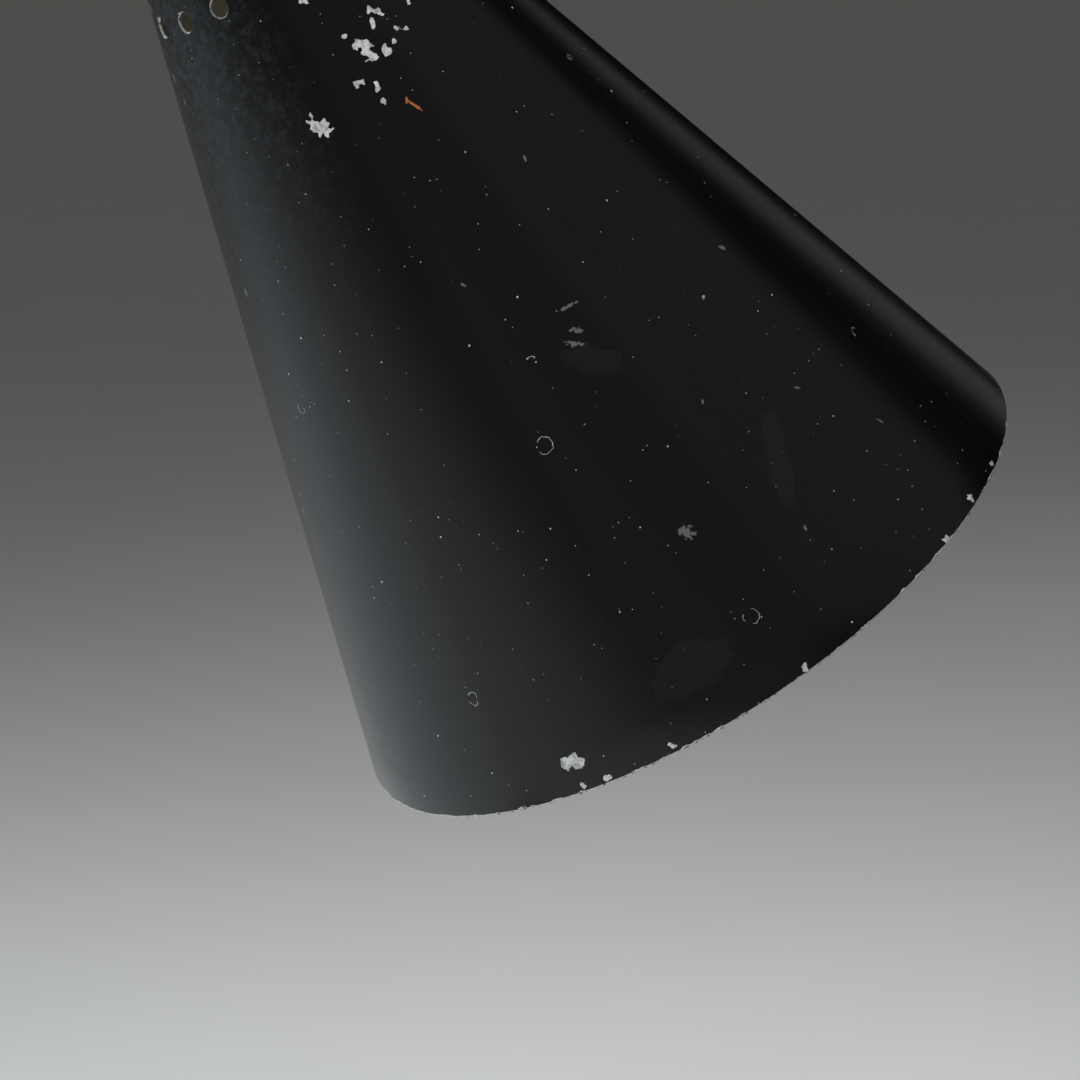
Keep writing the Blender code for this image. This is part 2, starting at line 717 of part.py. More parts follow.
ring(
    "swivel_washer", SOCKET_RADIUS, swivel_bore,
    fork_seat - SEAT_GAP - SWIVEL_WASHER - hinge_height, fork_seat - SEAT_GAP - hinge_height, FIBRE, HINGE,
)
hinge_slot = slot_half(HINGE_TONGUE)
groove_middle = stem_top + stop_height - hinge_height
groove_radius = SWIVEL_RADIUS - GROOVE_DEPTH
fork(
    "hinge_fork", HINGE, HINGE_BAR_RADIUS, HINGE_BOSS_RADIUS, hinge_slot, HINGE_EAR_SIZE, hinge_slot_depth,
    [
        (SWIVEL_RADIUS, fork_low),
        (SWIVEL_RADIUS, groove_middle + GROOVE_WIDTH),
        (groove_radius, groove_middle + GROOVE_WIDTH),
        (groove_radius, groove_middle - GROOVE_WIDTH),
        (SWIVEL_RADIUS, groove_middle - GROOVE_WIDTH),
        (SWIVEL_RADIUS, fork_low - SWIVEL_LENGTH),
    ],
    HINGE_PIN_RADIUS,
)
neck_low = HINGE_BOSS_RADIUS + 4.0 * RUN_GAP
tongue(
    "hinge_tongue", HINGE, HINGE_BOSS_RADIUS, HINGE_TONGUE,
    [
        (spigot_radius, HINGE_NECK_LENGTH + SPIGOT_LENGTH),
        (spigot_radius, HINGE_NECK_LENGTH),
        (ARM_RADIUS, HINGE_NECK_LENGTH),
        (HINGE_NECK_RADIUS, HINGE_NECK_LENGTH - HINGE_NECK_TAPER),
        (HINGE_NECK_RADIUS, neck_low),
    ],
    HINGE_PIN_RADIUS, HINGE_BRIDGE,
)

# The bolt, the washers and the knob lie along the knuckle's pin, with Z towards the front
HINGE_PIN = add_empty("hinge_pin_axis", HINGE.matrix_world @ ACROSS)
hinge_flat = hinge_slot + HINGE_EAR_SIZE
clamp_seat = hinge_flat + SEAT_GAP + CLAMP_WASHER_THICKNESS
knob_low = clamp_seat + SEAT_GAP
bolt_end = knob_low + 0.7 * KNOB_HEIGHT
turned(
    "hinge_bolt",
    [
        (0.0, bolt_end),
        (HINGE_PIN_RADIUS, bolt_end),
        (HINGE_PIN_RADIUS, -hinge_flat - SEAT_GAP),
        (HINGE_HEAD_RADIUS, -hinge_flat - SEAT_GAP),
        (HINGE_HEAD_RADIUS, -hinge_flat - SEAT_GAP - 0.5 * HINGE_HEAD_HEIGHT),
        (0.6 * HINGE_HEAD_RADIUS, -hinge_flat - SEAT_GAP - HINGE_HEAD_HEIGHT),
        (0.0, -hinge_flat - SEAT_GAP - HINGE_HEAD_HEIGHT),
    ],
    STEEL, HINGE_PIN, sides=PIN_SIDES,
)


def fibre_pair(name, parent, outer, pin_radius, tongue_size):
    """The two friction washers, one on each side of a tongue."""
    near = tongue_size / 2.0 + SEAT_GAP
    ring(f"{name}_front", outer, pin_radius + RUN_GAP, near, near + FIBRE_THICKNESS, FIBRE, parent, PIN_SIDES)
    ring(f"{name}_back", outer, pin_radius + RUN_GAP, -near - FIBRE_THICKNESS, -near, FIBRE, parent, PIN_SIDES)


fibre_pair("hinge_fibre", HINGE_PIN, HINGE_BOSS_RADIUS - SEAT_GAP, HINGE_PIN_RADIUS, HINGE_TONGUE)
ring(
    "clamp_washer", HINGE_HEAD_RADIUS, HINGE_PIN_RADIUS + RUN_GAP, hinge_flat + SEAT_GAP, clamp_seat,
    STEEL, HINGE_PIN, PIN_SIDES,
)
knob_bore = HINGE_PIN_RADIUS + RUN_GAP
clamp_knob = turned(
    "clamp_knob",
    [
        (0.0, knob_low + KNOB_HEIGHT),
        (0.6 * KNOB_RADIUS, knob_low + KNOB_HEIGHT),
        (KNOB_RADIUS, knob_low + 0.8 * KNOB_HEIGHT),
        (KNOB_RADIUS, knob_low + 0.4 * KNOB_HEIGHT),
        (0.55 * KNOB_RADIUS, knob_low + 0.25 * KNOB_HEIGHT),
        (0.5 * KNOB_RADIUS, knob_low),
        (knob_bore, knob_low),
        (knob_bore, bolt_end + RUN_GAP),
        (0.0, bolt_end + RUN_GAP),
    ],
    BAKELITE, HINGE_PIN, sides=24,
)
scallops = rods(
    "knob_scallops", KNOB_SCALLOP_RADIUS, 3.0 * KNOB_HEIGHT,
    [
        Matrix.Rotation(math.tau * lobe / KNOB_LOBES, 4, "Z")
        @ Matrix.Translation((KNOB_RADIUS + 0.5 * KNOB_SCALLOP_RADIUS, 0.0, knob_low))
        for lobe in range(KNOB_LOBES)
    ],
    None, HINGE_PIN, sides=10,
)
combine(clamp_knob, scallops, "DIFFERENCE")

# ---------------------------------------------------------------- bow
arm_start = HINGE_NECK_LENGTH + SEAT_GAP


def bow_path():
    """(x, z, heading) along the tube: upright at first, then a heading that falls by a power of the distance."""
    x, z, heading = 0.0, arm_start + ARM_STRAIGHT_END, math.pi / 2.0
    path = [(0.0, arm_start, heading), (x, z, heading)]
    fine = 20
    for i in range(1, ARM_POINTS * fine + 1):
        distance = (i - 0.5) / (ARM_POINTS * fine)
        heading = math.pi / 2.0 - ARM_TURN * distance**ARM_TURN_GROWTH
        step = ARM_BOW_LENGTH / (ARM_POINTS * fine)
        x += step * math.cos(heading)
        z += step * math.sin(heading)
        if i % fine == 0:
            path.append((x, z, heading))
    heading = math.pi / 2.0 - ARM_TURN
    path.append((x + ARM_STRAIGHT_END * math.cos(heading), z + ARM_STRAIGHT_END * math.sin(heading), heading))
    return path


arm_path = bow_path()
wire("arm_tube", [(x, 0.0, z) for x, z, _ in arm_path], ARM_RADIUS, LACQUER, HINGE, resolution=3, wall=ARM_WALL)
end_x, end_z, end_heading = arm_path[-1]
tip_slot_depth = TIP_BOSS_RADIUS + 2.0 * RUN_GAP
tip_low = -tip_slot_depth - TIP_FLOOR
tip_reach = SEAT_GAP - tip_low
tip_local = Matrix.Translation(
    (end_x + tip_reach * math.cos(end_heading), 0.0, end_z + tip_reach * math.sin(end_heading))
) @ Matrix.Rotation(math.pi / 2.0 - end_heading, 4, "Y")
TIP = add_empty("arm_tip", HINGE.matrix_world @ tip_local)
lead_end = tip_reach + tip_low + TIP_FLOOR - SEAT_GAP
arm_lead_points = [(0.0, 0.0, neck_low + SEAT_GAP)]
arm_lead_points += [(x, 0.0, z) for x, z, _ in arm_path]
arm_lead_points.append((end_x + lead_end * math.cos(end_heading), 0.0, end_z + lead_end * math.sin(end_heading)))
wire("arm_lead", arm_lead_points, LEAD_RADIUS, LEAD, HINGE, resolution=1)

# ---------------------------------------------------------------- knuckle of the shade
tip_slot = slot_half(TIP_TONGUE)
fork(
    "shade_fork", TIP, TIP_BAR_RADIUS, TIP_BOSS_RADIUS, tip_slot, TIP_EAR_SIZE, tip_slot_depth,
    [(spigot_radius, tip_low), (spigot_radius, tip_low - SPIGOT_LENGTH)], TIP_PIN_RADIUS,
)
SHADE = add_empty(
    "shade_axis",
    Matrix.Translation(TIP.matrix_world.translation) @ Matrix.Rotation(math.pi - SHADE_TILT, 4, "Y"),
)
tip_neck_low = TIP_BOSS_RADIUS + 3.0 * RUN_GAP
shade_tongue = tongue(
    "shade_tongue", SHADE, TIP_BOSS_RADIUS, TIP_TONGUE,
    [(TIP_NECK_RADIUS, TIP_NECK_LENGTH), (TIP_NECK_RADIUS, tip_neck_low)], TIP_PIN_RADIUS, TIP_BRIDGE,
)
nipple_low = TIP_NECK_LENGTH - NIPPLE_GRIP
nipple_seat = rods(
    "nipple_seat", NIPPLE_RADIUS + SEAT_GAP, 4.0 * NIPPLE_GRIP,
    [Matrix.Translation((0.0, 0.0, nipple_low - SEAT_GAP + 2.0 * NIPPLE_GRIP))], None, SHADE, sides=16,
)
combine(shade_tongue, nipple_seat, "DIFFERENCE")

TIP_PIN = add_empty("shade_pin_axis", Matrix.Translation(TIP.matrix_world.translation) @ ACROSS)
fibre_pair("shade_fibre", TIP_PIN, TIP_BOSS_RADIUS - SEAT_GAP, TIP_PIN_RADIUS, TIP_TONGUE)
tip_flat = tip_slot + TIP_EAR_SIZE
thumb_washer_top = tip_flat + SEAT_GAP + CLAMP_WASHER_THICKNESS
ring(
    "thumb_washer", 0.75 * THUMB_RADIUS, TIP_PIN_RADIUS + RUN_GAP, tip_flat + SEAT_GAP, thumb_washer_top,
    STEEL, TIP_PIN, PIN_SIDES,
)
thumb_low = thumb_washer_top + SEAT_GAP
turned(
    "thumb_screw",
    [
        (0.0, thumb_low + THUMB_HEIGHT),
        (0.85 * THUMB_RADIUS, thumb_low + THUMB_HEIGHT),
        (THUMB_RADIUS, thumb_low + 0.9 * THUMB_HEIGHT),
        (THUMB_RADIUS, thumb_low + 0.3 * THUMB_HEIGHT),
        (0.65 * THUMB_RADIUS, thumb_low + 0.2 * THUMB_HEIGHT),
        (0.65 * THUMB_RADIUS, thumb_low),
        (TIP_PIN_RADIUS, thumb_low),
        (TIP_PIN_RADIUS, -tip_flat - TIP_PIN_RADIUS),
        (0.0, -tip_flat - TIP_PIN_RADIUS),
    ],
    BRASS, TIP_PIN, sides=PIN_SIDES,
)

# ---------------------------------------------------------------- shade, with Z from the knuckle down to the rim
collar_top = TIP_NECK_LENGTH + SEAT_GAP
shade_top = collar_top + SHADE_COLLAR_HEIGHT + SEAT_GAP
nipple_bore_in_piece = NIPPLE_RADIUS + SEAT_GAP
turned(
    "shade_collar",
    [
        (SHADE_COLLAR_RADIUS, shade_top - SEAT_GAP),
        (SHADE_COLLAR_RADIUS, shade_top - SEAT_GAP - 0.2 * SHADE_COLLAR_HEIGHT),
        (0.5 * (SHADE_COLLAR_RADIUS + TIP_NECK_RADIUS), shade_top - SEAT_GAP - 0.45 * SHADE_COLLAR_HEIGHT),
        (TIP_NECK_RADIUS + SHADE_COLLAR_STEP, collar_top + 0.15 * SHADE_COLLAR_HEIGHT),
        (TIP_NECK_RADIUS, collar_top),
        (nipple_bore_in_piece, collar_top),
        (nipple_bore_in_piece, shade_top - SEAT_GAP),
    ],
    BRASS, SHADE, sides=20,
)
slope = math.tan(SHADE_HALF_ANGLE)
apex = shade_top - SHADE_TOP_RADIUS / slope
shade_rim = apex + SHADE_RIM_RADIUS / slope
fillet_radius = SHADE_TOP_RADIUS + SHADE_TOP_FILLET * (slope - 1.0 / math.cos(SHADE_HALF_ANGLE))
shade_shell = turned(
    "shade_shell",
    [
        (SHADE_RIM_RADIUS, shade_rim),
        *arc(
            (fillet_radius, shade_top + SHADE_TOP_FILLET), (SHADE_TOP_FILLET, SHADE_TOP_FILLET),
            -SHADE_HALF_ANGLE, -math.pi / 2.0, 2,
        ),
        (nipple_bore_in_piece, shade_top),
    ],
    LACQUER, SHADE, sides=60, wall=SHADE_WALL,
)


def vent_place(index):
    """Square to the sheet, on the ring of vents."""
    angle = VENT_START + math.tau * index / VENT_COUNT
    outwards = Vector((
        math.cos(SHADE_HALF_ANGLE) * math.cos(angle),
        math.cos(SHADE_HALF_ANGLE) * math.sin(angle),
        -math.sin(SHADE_HALF_ANGLE),
    ))
    centre = Vector((
        VENT_RING_RADIUS * math.cos(angle), VENT_RING_RADIUS * math.sin(angle), apex + VENT_RING_RADIUS / slope
    ))
    turn = Vector((0.0, 0.0, 1.0)).rotation_difference(outwards)
    return Matrix.Translation(centre) @ turn.to_matrix().to_4x4()


vents = rods("vents", VENT_RADIUS, 12.0 * SHADE_WALL, [vent_place(i) for i in range(VENT_COUNT)], None, SHADE, 10)
combine(shade_shell, vents, "DIFFERENCE")

washer_face = shade_top + SHADE_WALL + SEAT_GAP
lock_face = washer_face + INNER_WASHER_THICKNESS + SEAT_GAP
holder_top = lock_face + LOCK_NUT_THICKNESS + SEAT_GAP
ring(
    "inner_washer", INNER_WASHER_RADIUS, nipple_bore_in_piece, washer_face, washer_face + INNER_WASHER_THICKNESS,
    STEEL, SHADE,
)
lock_nut = rods(
    "lock_nut", LOCK_NUT_RADIUS, LOCK_NUT_THICKNESS,
    [Matrix.Translation((0.0, 0.0, lock_face + LOCK_NUT_THICKNESS / 2.0))], BRASS, SHADE, sides=6,
)
lock_nut_bore = rods(
    "lock_nut_bore", nipple_bore_in_piece, 4.0 * LOCK_NUT_THICKNESS, [Matrix.Translation((0.0, 0.0, lock_face))],
    None, SHADE, sides=16,
)
combine(lock_nut, lock_nut_bore, "DIFFERENCE")
nipple_end = holder_top + 2.0 * HOLDER_WALL
ring("shade_nipple", NIPPLE_RADIUS, NIPPLE_BORE_RADIUS, nipple_low, nipple_end, BRASS, SHADE)

# ---------------------------------------------------------------- lampholder
holder_inside = HOLDER_RADIUS - HOLDER_WALL
cap_open = holder_top + HOLDER_CAP_HEIGHT
cap_round = HOLDER_CAP_HEIGHT * 0.35
turned(
    "holder_cap",
    [
        (HOLDER_RADIUS, cap_open),
        *arc((HOLDER_RADIUS - cap_round, holder_top + cap_round), (cap_round, cap_round), 0.0, -math.pi / 2.0, 2),
        (nipple_bore_in_piece, holder_top),
        (nipple_bore_in_piece, holder_top + HOLDER_WALL),
        (holder_inside - cap_round, holder_top + HOLDER_WALL),
        (holder_inside, holder_top + HOLDER_WALL + cap_round),
        (holder_inside, cap_open),
    ],
    BAKELITE, SHADE, sides=20,
)
insert_face = cap_open + INSERT_THICKNESS / 2.0
insert_back = insert_face - INSERT_THICKNESS
holder_insert = turned(
    "holder_insert",
    [
        (0.0, insert_face), (holder_inside - SEAT_GAP, insert_face), (holder_inside - SEAT_GAP, insert_back),
        (0.0, insert_back),
    ],
    PORCELAIN, SHADE, sides=20,
)
insert_holes = rods(
    "insert_holes", LEAD_RADIUS, 4.0 * INSERT_THICKNESS,
    [Matrix.Translation((0.6 * holder_inside * side, 0.0, insert_face)) for side in (-1.0, 1.0)],
    None, SHADE, sides=12,
)
combine(holder_insert, insert_holes, "DIFFERENCE")
skirt_top = cap_open + SEAT_GAP
skirt_end = skirt_top + HOLDER_SKIRT_HEIGHT
ring("holder_skirt", HOLDER_RADIUS, holder_inside, skirt_top, skirt_end, BAKELITE, SHADE, 20)
ring_low = skirt_end - 2.0 * RING_HEIGHT
ring_bore = HOLDER_RADIUS + SEAT_GAP
ring("holder_ring", ring_bore + RING_THICKNESS, ring_bore, ring_low, ring_low + RING_HEIGHT, BAKELITE, SHADE, 20)
thread_low = insert_face + SEAT_GAP
ring(
    "holder_thread", THREAD_RADIUS, THREAD_RADIUS - THREAD_WALL, thread_low, thread_low + THREAD_HEIGHT,
    BRASS, SHADE, 20,
)
contact_low = insert_face + SEAT_GAP
turned(
    "holder_contact",
    [
        (0.0, contact_low + CONTACT_HEIGHT), (CONTACT_RADIUS, contact_low + CONTACT_HEIGHT),
        (1.5 * CONTACT_RADIUS, contact_low), (0.0, contact_low),
    ],
    BRASS, SHADE, sides=16,
)
wire(
    "holder_lead", [(0.0, 0.0, nipple_low + SEAT_GAP), (0.0, 0.0, insert_back - SEAT_GAP)], LEAD_RADIUS, LEAD, SHADE
)

# ---------------------------------------------------------------- lamp
lamp_back = contact_low + CONTACT_HEIGHT + SEAT_GAP
lamp_cap_end = lamp_back + LAMP_CAP_HEIGHT
cap_inside = LAMP_CAP_RADIUS - LAMP_CAP_WALL
cap_floor = lamp_back + 0.25 * LAMP_CAP_HEIGHT
turned(
    "bulb_cap",
    [
        (0.0, cap_floor + LAMP_CAP_WALL),
        (cap_inside, cap_floor + LAMP_CAP_WALL),
        (cap_inside, lamp_cap_end),
        (LAMP_CAP_RADIUS, lamp_cap_end),
        (LAMP_CAP_RADIUS, cap_floor),
        (CONTACT_RADIUS, lamp_back),
        (0.0, lamp_back),
    ],
    BRASS, SHADE, sides=20,
)
globe_centre = lamp_back + LAMP_LENGTH - LAMP_RADIUS
turned(
    "bulb_glass",
    [
        *arc((0.0, globe_centre), (LAMP_RADIUS, LAMP_RADIUS), math.pi / 2.0, -math.pi / 5.0, 6),
        (1.4 * LAMP_NECK_RADIUS, (globe_centre + 1.2 * lamp_cap_end) / 2.2),
        (LAMP_NECK_RADIUS, lamp_cap_end + SEAT_GAP),
        (LAMP_NECK_RADIUS, lamp_cap_end - 0.2 * LAMP_CAP_HEIGHT),
    ],
    OPAL, SHADE, sides=20, wall=LAMP_WALL,
)
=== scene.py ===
"""Arc floor lamp with a long black cone shade: its looks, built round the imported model. Metres, +Z up."""

import bisect
import json
import math

import bmesh
import bpy
import mathutils
from mathutils import Matrix, Vector


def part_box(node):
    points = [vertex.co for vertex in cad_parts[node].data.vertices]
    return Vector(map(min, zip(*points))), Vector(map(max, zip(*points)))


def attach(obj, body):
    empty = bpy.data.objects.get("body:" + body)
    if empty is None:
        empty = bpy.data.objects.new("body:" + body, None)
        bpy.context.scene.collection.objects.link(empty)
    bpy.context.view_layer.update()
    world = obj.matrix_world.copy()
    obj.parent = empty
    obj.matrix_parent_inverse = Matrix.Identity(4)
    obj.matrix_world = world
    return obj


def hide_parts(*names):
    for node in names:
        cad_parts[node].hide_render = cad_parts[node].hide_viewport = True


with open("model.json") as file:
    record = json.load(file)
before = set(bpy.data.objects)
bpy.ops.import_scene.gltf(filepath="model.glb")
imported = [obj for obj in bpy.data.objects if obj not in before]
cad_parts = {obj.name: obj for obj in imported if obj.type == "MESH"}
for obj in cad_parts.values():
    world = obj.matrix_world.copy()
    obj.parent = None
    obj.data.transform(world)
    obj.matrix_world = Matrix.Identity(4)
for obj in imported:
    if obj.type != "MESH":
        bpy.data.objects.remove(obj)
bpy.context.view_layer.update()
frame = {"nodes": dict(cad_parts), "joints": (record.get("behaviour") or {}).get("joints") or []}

# ---------------------------------------------------------------- camera
# A long lens stands a little above the shade's rim and looks down ten degrees at its outside. Only the long
# cone is in its view, and the rest of the lamp is outside it.
CAMERA_LENS = 116.7
CAMERA_PLACE = (0.5798, -1.1583, 1.3185)
CAMERA_TILT = math.radians(80.0)
CAMERA_HEADING = math.radians(-21.73)

camera = bpy.data.objects.new("camera", bpy.data.cameras.new("camera"))
camera.data.lens = CAMERA_LENS
camera.data.clip_start = 0.05
camera.data.clip_end = 300.0
camera.location = CAMERA_PLACE
camera.rotation_euler = (CAMERA_TILT, 0.0, CAMERA_HEADING)
bpy.context.scene.collection.objects.link(camera)
bpy.context.scene.camera = camera
bpy.context.scene.view_settings.view_transform = "Standard"

# ---------------------------------------------------------------- studio floor and light
# A pale seamless floor runs out to a dim horizon, and three soft boxes light it from above. One stands high in
# front of the shade, a cool one behind at the left draws the long highlight down its side, and three weak
# ones fill in.
FLOOR_SIZE = 200.0
FLOOR_DROP = 0.0002
HORIZON_COLOUR = (0.072, 0.071, 0.068)
ZENITH_COLOUR = (0.138, 0.137, 0.131)


def put(tree, kind, inputs=None, **settings):
    """Adds a shader node; an input given as a socket is linked, and any other is set."""
    made = tree.nodes.new(kind)
    for name, value in settings.items():
        setattr(made, name, value)
    for name, value in (inputs or {}).items():
        if isinstance(value, bpy.types.NodeSocket):
            tree.links.new(value, made.inputs[name])
        else:
            made.inputs[name].default_value = value
    return made


def fade(tree, value, start, end, low=0.0, high=1.0):
    """Follows value smoothly from low at start to high at end, and stays there."""
    inputs = {"Value": value, "From Min": start, "From Max": end, "To Min": low, "To Max": high}
    return put(tree, "ShaderNodeMapRange", inputs, interpolation_type="SMOOTHSTEP").outputs["Result"]


def give(tree, socket, value):
    """Links an input to a value that is a socket, and sets it to any other. A colour gets its alpha."""
    if isinstance(value, bpy.types.NodeSocket):
        tree.links.new(value, socket)
    else:
        socket.default_value = (*value, 1.0) if isinstance(value, tuple) else value


def blend(tree, share, first, second):
    """A colour between two, by share."""
    made = put(tree, "ShaderNodeMix", data_type="RGBA")
    for socket, value in ((made.inputs[0], share), (made.inputs[6], first), (made.inputs[7], second)):
        give(tree, socket, value)
    return made.outputs[2]


def noise(tree, place, grain, detail=2.0, roughness=0.5):
    """Cloudy noise, from 0 to 1, whose blots are about one grain across, in metres."""
    inputs = {"Vector": place, "Scale": 1.0 / grain, "Detail": detail, "Roughness": roughness}
    return put(tree, "ShaderNodeTexNoise", inputs).outputs["Fac"]


def new_finish(name):
    """A material, its node tree, its Principled shader and the piece's own coordinates."""
    finish = bpy.data.materials.new(name)
    finish.use_nodes = True
    tree = finish.node_tree
    place = put(tree, "ShaderNodeTexCoord").outputs["Object"]
    return finish, tree, tree.nodes["Principled BSDF"], place


def feed(tree, shader, **inputs):
    """Sets or links inputs of a shader; an underscore in a name stands for a space."""
    for name, value in inputs.items():
        give(tree, shader.inputs[name.replace("_", " ")], value)


floor_finish, tree, shader, place = new_finish("studio_floor")
clouds = noise(tree, place, 0.35, 3.0)
feed(tree, shader, Base_Color=blend(tree, clouds, (0.60, 0.60, 0.595), (0.64, 0.64, 0.635)), Roughness=0.7)
shape = bmesh.new()
bmesh.ops.create_grid(
    shape, x_segments=1, y_segments=1, size=FLOOR_SIZE / 2.0, matrix=Matrix.Translation((0.0, 0.0, -FLOOR_DROP))
)
floor_mesh = bpy.data.meshes.new("studio_floor")
shape.to_mesh(floor_mesh)
shape.free()
floor_mesh.materials.append(floor_finish)
studio_floor = bpy.data.objects.new("studio_floor", floor_mesh)
bpy.context.scene.collection.objects.link(studio_floor)

world = bpy.data.worlds.new("studio")
bpy.context.scene.world = world
world.use_nodes = True
tree = world.node_tree
heading = put(tree, "ShaderNodeTexCoord").outputs["Generated"]
rise = put(tree, "ShaderNodeSeparateXYZ", {0: heading}).outputs["Z"]
sky = blend(tree, fade(tree, rise, 0.0, 0.5), HORIZON_COLOUR, ZENITH_COLOUR)
tree.links.new(sky, tree.nodes["Background"].inputs["Color"])
world.cycles_visibility.glossy = False


def soft_box(name, place, target, size, watts, colour, glossy):
    """A soft area light that the camera doesn't see."""
    light = bpy.data.lights.new(name, "AREA")
    light.shape = "RECTANGLE"
    light.size, light.size_y = size
    light.energy = watts
    light.color = colour
    stand = bpy.data.objects.new(name, light)
    aim = Vector(target) - Vector(place)
    stand.matrix_world = Matrix.Translation(place) @ aim.to_track_quat("-Z", "Y").to_matrix().to_4x4()
    stand.visible_camera = False
    stand.visible_glossy = glossy
    bpy.context.scene.collection.objects.link(stand)


soft_box("wash", (1.9, 1.8, 2.4), (1.9, 1.8, 0.0), (1.6, 1.6), 44.0, (1.0, 1.0, 0.99), False)
soft_box("wash_far", (4.4, 3.9, 2.4), (4.4, 3.9, 0.0), (2.0, 2.0), 7.0, (1.0, 1.0, 0.99), False)
soft_box("pool", (-1.3, 0.7, 1.8), (-1.3, 0.7, 0.0), (1.2, 1.2), 13.0, (0.93, 0.97, 1.0), False)
soft_box("high", (-0.6, -1.9, 3.3), (1.0, 0.0, 1.1), (1.5, 1.5), 70.0, (0.95, 0.98, 1.0), False)
soft_box("key", (-1.5, 2.5, 2.1), (1.0, -0.6, 1.1), (0.9, 1.2), 56.0, (0.70, 0.88, 1.0), True)
soft_box("front", (0.0, -3.2, 1.9), (1.0, 0.0, 1.2), (3.0, 2.4), 3.0, (0.96, 1.0, 0.90), True)
soft_box("right", (2.85, -2.2, 3.2), (1.1, 0.0, 1.1), (4.5, 3.5), 9.0, (0.98, 1.0, 0.92), True)
soft_box("behind", (3.4, 1.6, 2.2), (1.1, 0.0, 1.1), (0.8, 1.6), 0.6, (1.0, 0.98, 0.95), True)

# ---------------------------------------------------------------- base cover
# A disc of sheet steel is spun over a former so that its edge rolls down to the floor, pierced for the foot
# switch and the cord, and sprayed satin black. It drops over the iron weight and the stem clamps it.
SEAT = 0.0003
COVER_WALL = 0.0012
COVER_FLAT_RADIUS = 0.124
COVER_SIDE = 0.0173
SWITCH_HOLE_RADIUS = 0.0106
CORD_HOLE_RADIUS = 0.0043
FLOOR_AXES = Matrix.Identity(4)


def sums(tree, operation, *values, clamp=False):
    """One step of arithmetic on numbers or sockets."""
    made = put(tree, "ShaderNodeMath", dict(enumerate(values)), operation=operation, use_clamp=clamp)
    return made.outputs[0]


def vectors(tree, operation, *values):
    """One step of arithmetic on vectors."""
    made = put(tree, "ShaderNodeVectorMath", dict(enumerate(values)), operation=operation)
    return made.outputs[0]


def relief(tree, height, distance, strength=1.0):
    """A normal from a height of 0 to 1, which stands distance proud."""
    inputs = {"Height": height, "Distance": distance, "Strength": strength}
    return put(tree, "ShaderNodeBump", inputs).outputs[0]


def middle_of(node):
    """The middle of a CAD node's box."""
    low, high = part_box(node)
    return (low + high) / 2.0


def measured(node, axes):
    """The lowest and highest point of a CAD node along Z of the axes, and its largest radius about it."""
    inwards = axes.inverted()
    points = [inwards @ vertex.co for vertex in frame["nodes"][node].data.vertices]
    heights = [point.z for point in points]
    return min(heights), max(heights), max(point.xy.length for point in points)


def arc(centre, radius, start, end, steps):
    """(radius, height) points on a round corner, from one angle to another in degrees."""
    angles = [math.radians(start + (end - start) * i / steps) for i in range(steps + 1)]
    return [(centre[0] + radius * math.cos(a), centre[1] + radius * math.sin(a)) for a in angles]


def spin(shape, outline, steps, closed=True):
    """Spins (radius, height) points about Z. A closed outline makes a ring, an open one ends on Z."""
    corners = [shape.verts.new((radius, 0.0, height)) for radius, height in outline]
    ends = corners[1:] + corners[:1] if closed else corners[1:]
    lines = [shape.edges.new(pair) for pair in zip(corners, ends)]
    bmesh.ops.spin(
        shape, geom=corners + lines, cent=(0.0, 0.0, 0.0), axis=(0.0, 0.0, 1.0), dvec=(0.0, 0.0, 0.0),
        angle=math.tau, steps=steps, use_merge=True, use_duplicate=False,
    )
    bmesh.ops.remove_doubles(shape, verts=shape.verts, dist=0.000002)
    bmesh.ops.recalc_face_normals(shape, faces=shape.faces)


def smooth(piece, sharp=35.0):
    """Shades a piece smooth but for its sharp edges."""
    piece.data.shade_smooth()
    piece.data.set_sharp_from_angle(angle=math.radians(sharp))


def new_object(name, shape, finishes, axes=FLOOR_AXES, sharp=35.0):
    """An object at the origin from a bmesh drawn on the axes, smooth but for its sharp edges."""
    shape.transform(axes)
    mesh = bpy.data.meshes.new(name)
    shape.to_mesh(mesh)
    shape.free()
    for finish in finishes:
        mesh.materials.append(finish)
    made = bpy.data.objects.new(name, mesh)
    smooth(made, sharp)
    bpy.context.scene.collection.objects.link(made)
    return made


def stands_for(piece, body, slot, *nodes):
    """Ties a piece to its body and hides the CAD nodes that it replaces. The slot is not used."""
    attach(piece, body)
    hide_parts(*nodes)


def ease(shape, width, steps=2, above=25.0):
    """Rounds the edges that turn by more than an angle, and marks them as worn."""
    worn = shape.loops.layers.float.get("worn") or shape.loops.layers.float.new("worn")
    corners = [
        edge for edge in shape.edges
        if len(edge.link_faces) == 2 and edge.calc_face_angle() > math.radians(above)
    ]
    made = bmesh.ops.bevel(
        shape, geom=corners, offset=width, affect="EDGES", segments=steps, profile=0.5, material=-1,
        clamp_overlap=True,
    )
    for face in made["faces"]:
        for loop in face.loops:
            loop[worn] = 1.0


def spun(name, outline, steps, finish, axes=FLOOR_AXES, edge=0.0, closed=True):
    """A turned piece, with its corners rounded by edge."""
    shape = bmesh.new()
    spin(shape, outline, steps, closed)
    if edge:
        ease(shape, edge)
    return new_object(name, shape, (finish,), axes)


def rod_tool(radius, length, axes, sides=40):
    """A drill, centred on the axes and along their Z."""
    shape = bmesh.new()
    bmesh.ops.create_cone(
        shape, cap_ends=True, segments=sides, radius1=radius, radius2=radius, depth=length
    )
    return new_object("tool", shape, (), axes)


